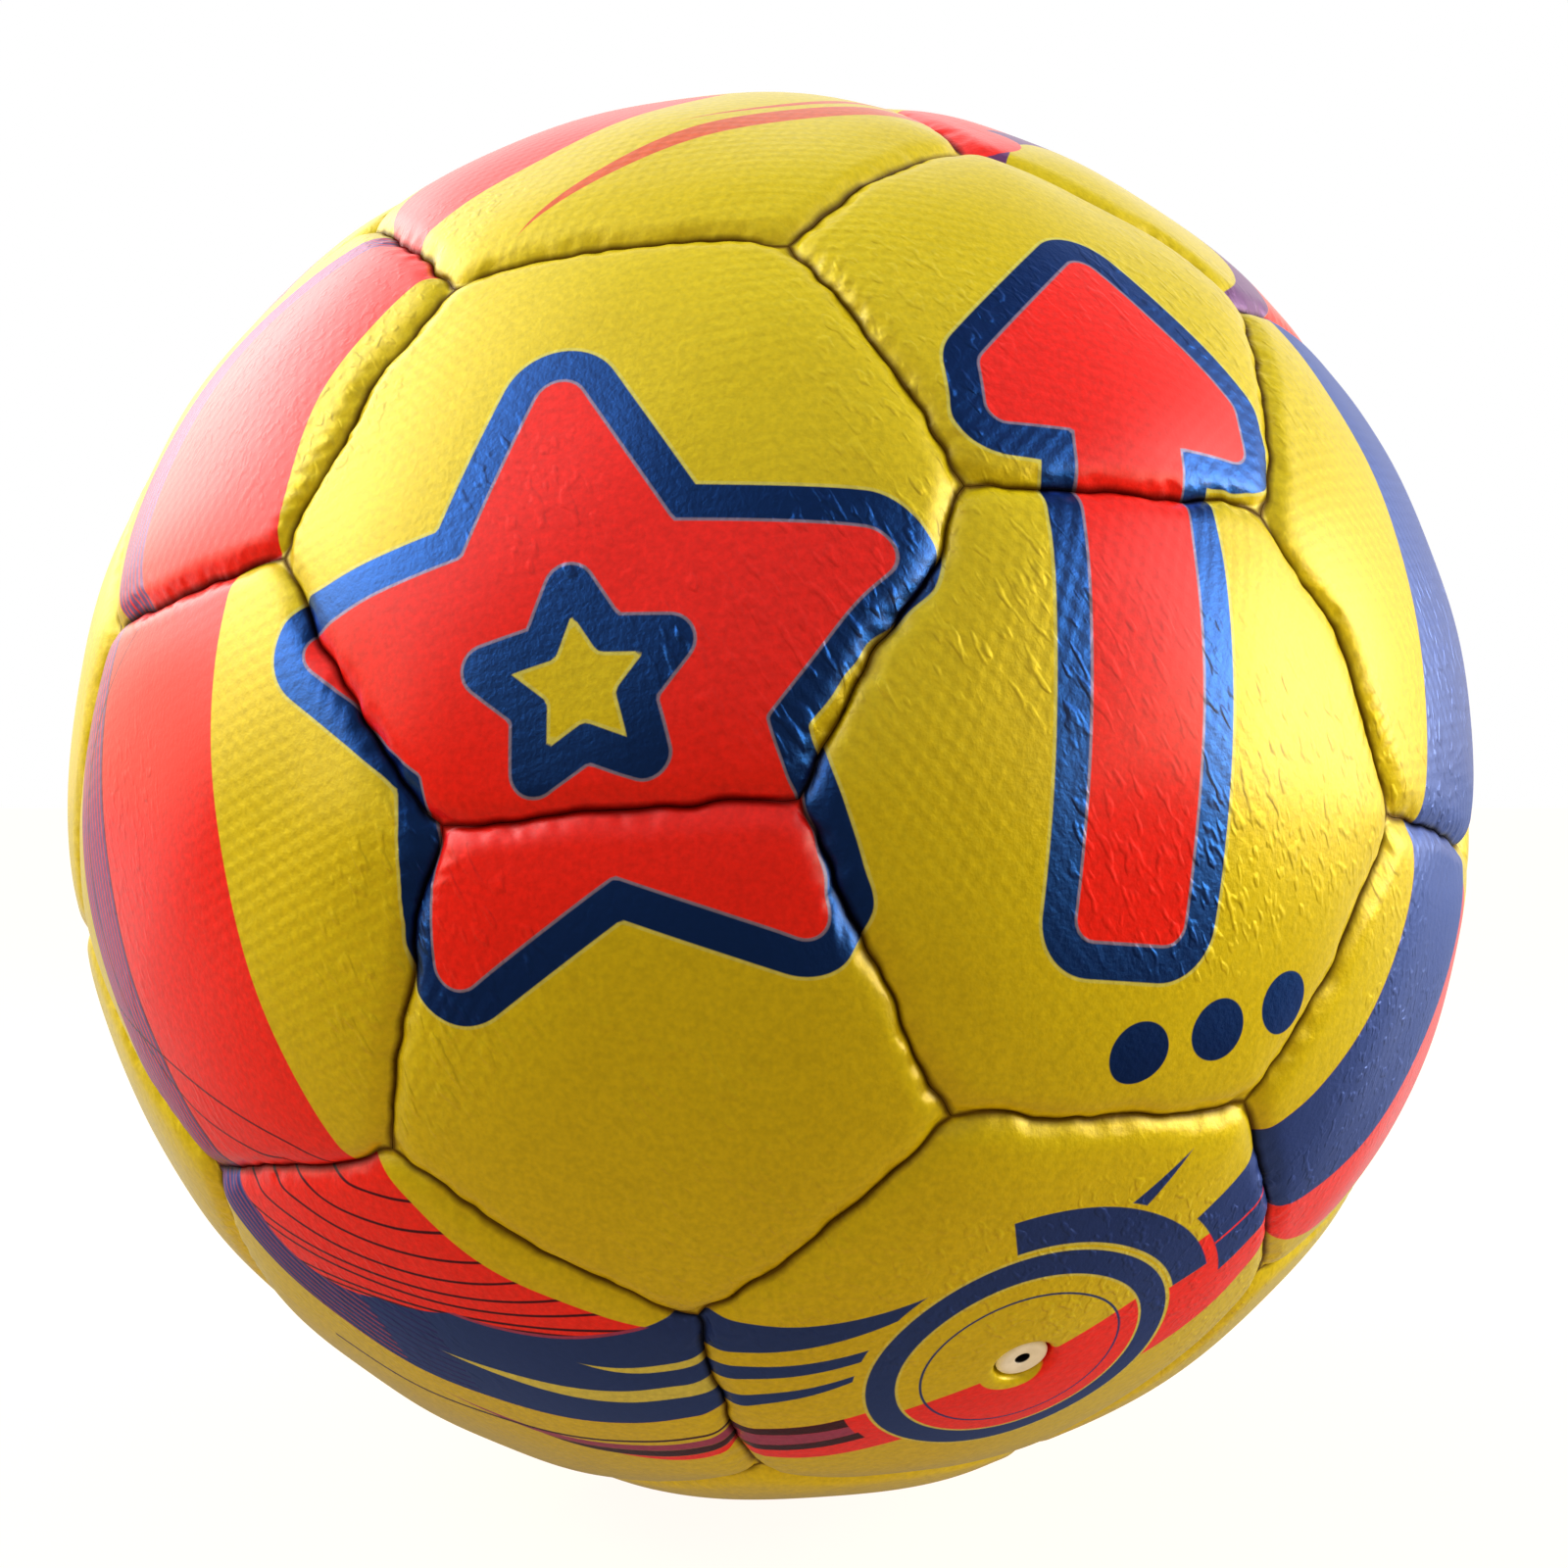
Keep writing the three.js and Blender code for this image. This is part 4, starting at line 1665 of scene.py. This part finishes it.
@dataclass(frozen=True)
class Twine:
    """The thread of two twisted plies that runs along every seam: sizes in mm.

    Attributes:
        radius: Of the ball, at the middle of the thread.
        width: Width of the thread.
        ply_size: Radius of a ply, as a share of a quarter of that width.
        ply_place: Distance from the thread's middle to that of a ply, as the same share.
        turns: Turns of the twist in one seam.
        steps: Steps in each turn.
        overlap: How far each length runs on past its corners.
    """

    radius: float = 95.65
    width: float = 0.86
    ply_size: float = 1.08
    ply_place: float = 0.95
    turns: int = 14
    steps: int = 6
    overlap: float = 0.25

    @staticmethod
    def seam_ends(layout: BallLayout, shape: PanelShape) -> list[tuple[np.ndarray, np.ndarray]]:
        """Finds the two corners of every seam.

        Args:
            layout: Where the panels lie.
            shape: Their sizes.

        Returns:
            The 90 seams, as pairs of directions.
        """
        reach = shape.corner_reach(5)
        corners = []
        for place in layout.places():
            if place.sides == 5:
                for step in range(5):
                    angle = math.pi / 2 + step * 2 * math.pi / 5
                    own = np.array((reach * math.cos(angle), reach * math.sin(angle), 1))
                    corners.append(unit(place.turn @ own))
        side_by_side = math.cos(math.radians(25))  # a seam spans 23.3 degrees
        pairs = itertools.combinations(corners, 2)
        return [(first, second) for first, second in pairs if first @ second > side_by_side]

    def strand(self, length: float) -> bpy.types.Object:
        """Models one straight length of twisted thread from the origin up +Z.

        Args:
            length: Its length in mm.

        Returns:
            The thread, in mm.
        """
        bpy.ops.object.select_all(action="DESELECT")
        quarter = self.width / 4
        bpy.ops.mesh.primitive_circle_add(
            vertices=5, radius=quarter * self.ply_size, location=(quarter * self.ply_place, 0, 0)
        )
        thread = bpy.context.object
        bpy.ops.object.transform_apply(location=True, rotation=False, scale=False)
        bpy.ops.object.modifier_add(type="SCREW")
        twist = thread.modifiers[0]
        twist.axis = "Z"
        twist.screw_offset = length / self.turns
        twist.iterations = self.turns
        twist.steps = twist.render_steps = self.steps
        bpy.ops.object.modifier_apply(modifier=twist.name)
        edit_only(thread)
        bpy.ops.mesh.select_all(action="SELECT")
        bpy.ops.mesh.remove_doubles(threshold=0.0001)
        bpy.ops.mesh.fill_holes(sides=0)
        bpy.ops.mesh.select_all(action="SELECT")
        bpy.ops.mesh.duplicate()
        bpy.ops.transform.rotate(value=math.pi, orient_axis="Z", center_override=(0, 0, 0))
        bpy.ops.mesh.select_all(action="SELECT")
        bpy.ops.mesh.normals_make_consistent(inside=False)
        bpy.ops.object.mode_set(mode="OBJECT")
        return thread

    def build(self, layout: BallLayout, shape: PanelShape, seams: SeamPull) -> bpy.types.Object:
        """Lays the thread along every seam.

        Args:
            layout: Where the panels lie.
            shape: Their sizes.
            seams: How the seams wander.

        Returns:
            The thread.
        """
        ends = self.seam_ends(layout, shape)
        angle = math.acos(float(ends[0][0] @ ends[0][1]))
        straight = self.strand(angle * self.radius + 2 * self.overlap)
        own = places_of(straight)
        lengths = []
        for first, second in ends:
            side = unit(np.cross(first, second))
            ahead = np.cross(side, first)
            turn = ((own[:, 2] - self.overlap) / self.radius)[:, None]
            outward = first * np.cos(turn) + ahead * np.sin(turn)
            place = outward * (self.radius + own[:, 0:1]) + side * own[:, 1:2]
            place += seams.drift(outward * shape.radius, np.zeros(len(own)))
            lengths.append(linked_copy(straight))
            put_places(lengths[-1], place * MM)
        bpy.data.objects.remove(straight)
        bpy.ops.object.select_all(action="DESELECT")
        for piece in lengths:
            piece.select_set(True)
        thread = lengths[0]
        bpy.context.view_layer.objects.active = thread
        bpy.ops.object.join()
        bpy.ops.object.shade_smooth()
        return dress(thread, "seam_thread", "ball", TWINE)


def dress(
    piece: bpy.types.Object, node: str, body: str, finish: Finish
) -> bpy.types.Object:
    """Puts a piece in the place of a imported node.

    Args:
        piece: The piece.
        node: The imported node.
        body: The body that it rides on.
        finish: Its finish.

    Returns:
        The piece.
    """
    piece.name = node + "_piece"
    piece.data.materials.clear()
    piece.data.materials.append(finish.material())
    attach(piece, body)
    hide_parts(node)
    return piece


@dataclass(frozen=True)
class Turning:
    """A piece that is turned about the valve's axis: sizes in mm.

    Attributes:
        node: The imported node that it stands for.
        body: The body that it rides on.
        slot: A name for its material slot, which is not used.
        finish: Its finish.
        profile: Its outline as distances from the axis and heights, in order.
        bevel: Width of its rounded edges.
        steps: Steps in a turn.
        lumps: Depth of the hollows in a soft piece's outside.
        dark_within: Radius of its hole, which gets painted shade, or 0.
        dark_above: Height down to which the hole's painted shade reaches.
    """

    node: str
    body: str
    slot: str
    finish: Finish
    profile: tuple[tuple[float, float], ...]
    bevel: float = 0.2
    steps: int = 96
    lumps: float = 0.0
    dark_within: float = 0.0
    dark_above: float = 85.0

    def build(self, axis: np.ndarray) -> bpy.types.Object:
        """Turns, rounds and places the piece.

        Args:
            axis: The valve's axis.

        Returns:
            The piece.
        """
        bpy.ops.object.select_all(action="DESELECT")
        bpy.ops.mesh.primitive_circle_add(vertices=len(self.profile), radius=1.0)
        piece = bpy.context.object
        reach, height = np.array(self.profile).T
        put_places(piece, np.column_stack((reach, np.zeros(len(reach)), height)) * MM)
        self.open_at_axis(piece)
        bpy.ops.mesh.select_all(action="SELECT")
        bpy.ops.mesh.spin(steps=self.steps, angle=2 * math.pi, center=(0, 0, 0), axis=(0, 0, 1))
        bpy.ops.mesh.select_all(action="SELECT")
        bpy.ops.mesh.remove_doubles(threshold=0.002 * MM)
        bpy.ops.mesh.normals_make_consistent(inside=False)
        bpy.ops.object.mode_set(mode="OBJECT")
        bpy.ops.object.modifier_add(type="BEVEL")
        edges = piece.modifiers[0]
        edges.width, edges.segments = self.bevel * MM, 3
        edges.limit_method, edges.angle_limit = "ANGLE", math.radians(35)
        bpy.ops.object.modifier_apply(modifier=edges.name)
        bpy.ops.object.shade_smooth_by_angle(angle=math.radians(40))
        self.place(piece, axis)
        return dress(piece, self.node, self.body, self.finish)

    def open_at_axis(self, piece: bpy.types.Object) -> None:
        """Opens the outline where it runs along the axis, and leaves the piece in edit mode.

        Args:
            piece: The outline.
        """
        edit_only(piece)
        if self.profile[0][0] == 0:
            bpy.ops.object.mode_set(mode="OBJECT")
            for index in (0, len(self.profile) - 1):
                piece.data.vertices[index].select = True
            bpy.ops.object.mode_set(mode="EDIT")
            bpy.ops.mesh.delete(type="EDGE")

    def place(self, piece: bpy.types.Object, axis: np.ndarray) -> None:
        """Turns the piece's mesh onto the valve's axis, with its hollows if it is soft.

        Args:
            piece: The piece.
            axis: The valve's axis.
        """
        own = places_of(piece) / MM
        # Painted shade: the needle hole is marked dark, where no light reaches into it.
        in_hole = np.hypot(own[:, 0], own[:, 1]) < self.dark_within
        in_hole &= own[:, 2] > self.dark_above
        write_attribute(piece, "deep", in_hole.astype(float))
        if self.lumps:
            radius = max(math.hypot(*point) for point in self.profile)
            outside = np.linalg.norm(own, axis=1) > radius - 1
            hollow = 0.5 + 0.3 * Ripple(41, 24.0).at(own) + 0.2 * Ripple(42, 9.0).at(own)
            own -= unit(own) * (np.clip(hollow, 0, 1.4) * self.lumps * outside)[:, None]
        turn = Vector((0, 0, 1)).rotation_difference(Vector(axis)).to_matrix()
        put_places(piece, own @ np.array(turn).T * MM)


def arc_points(radius: float, end: float, steps: int) -> tuple[tuple[float, float], ...]:
    """Gives points of a round profile, from its pole under the valve to a distance from the axis.

    Args:
        radius: Radius of the round, in mm.
        end: Distance from the axis at the end, in mm.
        steps: Steps on the way.

    Returns:
        Distances from the axis and heights.
    """
    last = math.pi - math.asin(end / radius)
    angles = (last * step / steps for step in range(steps + 1))
    return tuple((radius * math.sin(a) if a else 0.0, -radius * math.cos(a)) for a in angles)


@dataclass(frozen=True)
class ValveAndBladder:
    """The valve core, its housing, the bladder and the wadding in it.

    Sizes are in mm. Heights are from the ball's centre, along the valve's axis.

    Attributes:
        head_top: Height of the core's face.
        head_bottom: Height of the underside of its head.
        neck_top: Height of the housing's upper end.
        collar_top: Height of the upper face of its collar, under the panel.
        collar_bottom: Height of the collar's lower face.
        flange_top: Height of the upper face of its flange, inside the bladder.
        flange_bottom: Height of the flange's lower face.
        stem_bottom: Height of the lower ends of the core and the housing.
        bladder_outside: Outer radius of the bladder.
        bladder_inside: Its inner radius.
        bladder_opening: Radius of its opening.
        wad_radius: Radius of the wadding.
        wad_opening: Radius of the flat on it under the flange.
        wad_gap: Between the wadding and the housing.
    """

    head_top: float = 99.5
    head_bottom: float = 97.7
    neck_top: float = 97.4
    collar_top: float = 95.52
    collar_bottom: float = 92.7
    flange_top: float = 90.23
    flange_bottom: float = 88.63
    stem_bottom: float = 82.7
    bladder_outside: float = 92.4
    bladder_inside: float = 91.2
    bladder_opening: float = 5.5
    wad_radius: float = 90.7
    wad_opening: float = 11.3
    wad_gap: float = 0.3

    def core(self) -> Turning:
        """Gives the cream plug: a head with a shallow dished face, a blind needle hole and a stem.

        Returns:
            The core.
        """
        top = self.head_top
        return Turning("valve_core", "valve_core", "core_rubber", CREAM, (
            (0.0, self.stem_bottom), (2.2, self.stem_bottom), (2.2, self.head_bottom),
            (3.3, self.head_bottom), (3.3, top - 0.4), (3.1, top - 0.15), (2.7, top),
            (2.1, top - 0.06), (1.5, top - 0.1), (1.05, top - 0.14), (0.88, top - 0.3),
            (0.88, 88.5), (0.0, 87.65),
        ), 0.06, dark_within=0.96)

    def housing(self) -> Turning:
        """Gives the black rubber seat: socket, flange, waist, collar and neck round a bore.

        Returns:
            The housing.
        """
        return Turning("valve_housing", "ball", "housing_rubber", BLACK, (
            (2.5, self.stem_bottom), (4.5, self.stem_bottom), (4.5, self.flange_bottom),
            (11.0, self.flange_bottom), (11.0, self.flange_top), (5.2, self.flange_top),
            (5.2, self.collar_bottom), (8.5, self.collar_bottom), (8.5, self.collar_top),
            (3.4, self.collar_top), (3.4, self.neck_top), (2.5, self.neck_top),
        ), 0.3)

    def bladder(self) -> Turning:
        """Gives the thin black round bag, open at the valve.

        Returns:
            The bladder.
        """
        outside = arc_points(self.bladder_outside, self.bladder_opening, 72)
        inside = arc_points(self.bladder_inside, self.bladder_opening, 72)
        return Turning("bladder", "ball", "bladder_rubber", BUTYL, (*outside, *inside[::-1]), 0.3)

    def filling(self) -> Turning:
        """Gives the round wad of fibre with a pocket for the housing.

        Returns:
            The filling.
        """
        floor, step = self.stem_bottom - self.wad_gap, self.flange_bottom - self.wad_gap
        return Turning("bladder_filling", "ball", "fibre_filling", WADDING, (
            *arc_points(self.wad_radius, self.wad_opening, 80), (self.wad_opening, step),
            (4.8, step), (4.8, floor), (0.0, floor),
        ), 0.3, 144, 1.6)

    def build(self, axis: np.ndarray) -> list[bpy.types.Object]:
        """Makes the four pieces.

        Args:
            axis: The valve's axis.

        Returns:
            The pieces.
        """
        parts = (self.core(), self.housing(), self.bladder(), self.filling())
        made = [part.build(axis) for part in parts]
        return made


# Stage


@dataclass(frozen=True)
class Falloff:
    """A smooth step from one level of light to another, between two values of a coordinate."""

    low: float
    high: float
    least: float
    most: float

    def over(self, value: bpy.types.NodeSocket) -> dict:
        """Gives the inputs of the node that draws the step over a coordinate."""
        levels = {"From Min": self.low, "From Max": self.high, "To Min": self.least, "To Max": self.most}
        return {"Value": value, **levels}


@dataclass(frozen=True)
class Softbox:
    """A lamp with a flat soft face that looks at the ball.

    Attributes:
        name: Its name.
        place: Its place, in metres.
        size: Its width and height, in metres.
        power: Its power, in watts.
    """

    name: str
    place: tuple[float, float, float]
    size: tuple[float, float]
    power: float

    def build(self) -> None:
        """Adds the lamp."""
        lamp = bpy.data.lights.new(self.name, "AREA")
        lamp.shape = "RECTANGLE"
        lamp.size, lamp.size_y = self.size
        lamp.energy = self.power
        holder = bpy.data.objects.new(self.name, lamp)
        bpy.context.scene.collection.objects.link(holder)
        holder.location = self.place
        holder.rotation_euler = Vector(self.place).to_track_quat("Z", "Y").to_euler()
        holder.visible_camera = False
        holder.visible_glossy = False


@dataclass(frozen=True)
class Reflection:
    """A bright round patch of the surround, seen only as a reflection.

    Attributes:
        aim: Its direction.
        level: Its strength.
        sharpness: The higher, the smaller it is.
    """

    aim: tuple[float, float, float]
    level: float
    sharpness: float


@dataclass(frozen=True)
class Studio:
    """The plain floor, the soft light and the camera.

    Attributes:
        camera_distance: From the ball's centre to the camera, in metres.
        lens: Focal length in mm on a sensor 36 mm wide.
        shift: The camera's shift in x and y, as shares of the picture's width.
        floor_size: Side of the floor, in metres.
        lamps: The soft boxes.
        reflections: The bright patches that the ball mirrors.
    """

    camera_distance: float = 0.3375
    lens: float = 52.07
    shift: tuple[float, float] = (0.0080, 0.0082)
    floor_size: float = 40.0
    lamps: tuple[Softbox, ...] = (
        Softbox("left_softbox", (-0.72, 0.0, 0.5), (0.5, 0.5), 5.5),
        Softbox("right_softbox", (0.85, 0.0, 0.16), (0.32, 0.55), 6.0),
        Softbox("top_softbox", (0.0, -0.1, 1.0), (0.9, 0.6), 1.5),
    )
    reflections: tuple[Reflection, ...] = (
        Reflection((-0.62, 0.62, 0.48), 2.4, 22.0),
        Reflection((-0.85, -0.02, 0.52), 4.2, 8.0),
        Reflection((0.98, -0.1, 0.05), 8.5, 9.0),
    )

    def build(self) -> None:
        """Makes the floor, the world, the lamps and the camera."""
        self.add_floor()
        self.add_world()
        for lamp in self.lamps:
            lamp.build()
        self.add_camera()

    def add_floor(self) -> None:
        """Makes the white paper floor.

        Its matt face keeps the ball's shadow. The camera sees it white, and the ball sees it dim in front
        and bright behind:
        painted light, warm where it lights the ball from below, with its paper tone near black in the
        ball's reflections.
        """
        bpy.ops.object.select_all(action="DESELECT")
        bpy.ops.mesh.primitive_plane_add(size=self.floor_size, location=(0, 0, CAD_BOX[0].z))
        floor = bpy.context.object
        floor.name = "floor"
        # Rolling leaves the paper matt and even, with no grain that shows from here.
        material, tree = new_material("white_paper_sweep")
        spot = add_node(tree, "TexCoord", {}, "Object")
        depth = add_node(tree, "SeparateXYZ", {0: spot}, "Y")
        rays = ("Is Glossy Ray", "Is Diffuse Ray", "Is Camera Ray", "Is Transmission Ray")
        mirrored, bounced, shown, clear = (add_node(tree, "LightPath", {}, ray) for ray in rays)
        # Painted light: the paper's brown tone warms the light it bounces onto the ball, and turns near
        # black in the ball's reflections.
        paper = {"Factor": mirrored, "A": linear("#94774e"), "B": linear("#141210")}
        lit = {"Color": add_node(tree, "Mix", paper, "Result", data_type="RGBA")}
        level = add_node(tree, "Math", {0: shown, 1: clear}, operation="MAXIMUM")
        level = add_node(tree, "Math", {0: level, 1: 0.9}, operation="MULTIPLY")
        for ray, falloff in (
            (mirrored, Falloff(-0.12, 0.2, 0.05, 0.6)),
            (bounced, Falloff(-0.2, 0.06, 0.03, 1.2)),
        ):
            fade = add_node(tree, "MapRange", falloff.over(depth), interpolation_type="SMOOTHSTEP")
            level = add_node(tree, "Math", {0: ray, 1: fade, 2: level}, operation="MULTIPLY_ADD")
        # Painted light: the glow that lights the ball from below is warm.
        tint = {"Factor": bounced, "A": (1, 1, 1, 1), "B": (1.0, 0.8, 0.5, 1)}
        glow = {"Color": add_node(tree, "Mix", tint, "Result", data_type="RGBA"), "Strength": level}
        both = {0: add_node(tree, "BsdfDiffuse", lit), 1: add_node(tree, "Emission", glow)}
        add_node(tree, "OutputMaterial", {"Surface": add_node(tree, "AddShader", both)})
        floor.data.materials.append(material)

    def add_world(self) -> None:
        """Makes a surround that is white behind the ball and falls off towards the camera."""
        world = bpy.data.worlds.new("studio_surround")
        bpy.context.scene.world = world
        world.use_nodes = True
        tree = world.node_tree
        tree.nodes.clear()
        heading = add_node(tree, "TexCoord", {}, "Generated")
        depth, height = (add_node(tree, "SeparateXYZ", {0: heading}, axis) for axis in "YZ")
        behind, above, sheen, cool = (
            add_node(tree, "MapRange", falloff.over(value), interpolation_type="SMOOTHSTEP")
            for falloff, value in (
                (Falloff(-0.3, 0.6, 0.56, 0.9), depth),
                (Falloff(-0.45, 0.6, 0.12, 1.5), height),
                (Falloff(0.1, 0.95, 0.05, 1.0), depth),
                (Falloff(0.0, 0.6, 0.0, 1.0), height),
            )
        )
        soft = add_node(tree, "Math", {0: behind, 1: above}, operation="MULTIPLY")
        for patch in self.reflections:
            facing = {0: heading, 1: tuple(Vector(patch.aim).normalized())}
            facing = add_node(tree, "VectorMath", facing, "Value", operation="DOT_PRODUCT")
            facing = add_node(tree, "Math", {0: facing, 1: 0.0}, operation="MAXIMUM")
            facing = add_node(tree, "Math", {0: facing, 1: patch.sharpness}, operation="POWER")
            glow = {0: facing, 1: patch.level, 2: sheen}
            sheen = add_node(tree, "Math", glow, operation="MULTIPLY_ADD")
        rays = ("Is Glossy Ray", "Is Camera Ray")
        mirrored, direct = (add_node(tree, "LightPath", {}, ray) for ray in rays)
        level = {"Factor": mirrored, "A": soft, "B": sheen}
        level = add_node(tree, "Mix", level, "Result", data_type="FLOAT")
        level = {"Factor": direct, "A": level, "B": 1.0}
        level = add_node(tree, "Mix", level, "Result", data_type="FLOAT")
        white = (1, 1, 1, 1)
        colour = {"Factor": cool, "A": (1.0, 0.84, 0.62, 1), "B": white}
        colour = add_node(tree, "Mix", colour, "Result", data_type="RGBA")
        colour = {"Factor": direct, "A": colour, "B": white}
        colour = add_node(tree, "Mix", colour, "Result", data_type="RGBA")
        light = add_node(tree, "Background", {"Color": colour, "Strength": level})
        add_node(tree, "OutputWorld", {"Surface": light})

    def add_camera(self) -> None:
        """Adds the camera, level with the ball's centre and looking along +Y."""
        lens = bpy.data.cameras.new("camera")
        lens.lens = self.lens
        lens.sensor_width = 36.0
        lens.shift_x, lens.shift_y = self.shift
        camera = bpy.data.objects.new("camera", lens)
        camera.location = (0, -self.camera_distance, 0)
        camera.rotation_euler = (math.pi / 2, 0, 0)
        bpy.context.scene.collection.objects.link(camera)
        bpy.context.scene.camera = camera


def main() -> None:
    """Builds the ball and its stage, and reports each piece."""
    logging.basicConfig(level=logging.INFO, format="%(message)s")
    bpy.context.scene.view_settings.view_transform = "Standard"
    layout, shape, seams = BallLayout(), PanelShape(), SeamPull()
    pieces = PanelSkins(layout, shape, seams, Leather()).build()
    pieces.append(Twine().build(layout, shape, seams))
    pieces.extend(ValveAndBladder().build(layout.valve_axis))
    for piece in pieces:
        log.info("%s: %d faces", piece.name, len(piece.data.polygons))
    Studio().build()


if __name__ == "__main__":
    main()
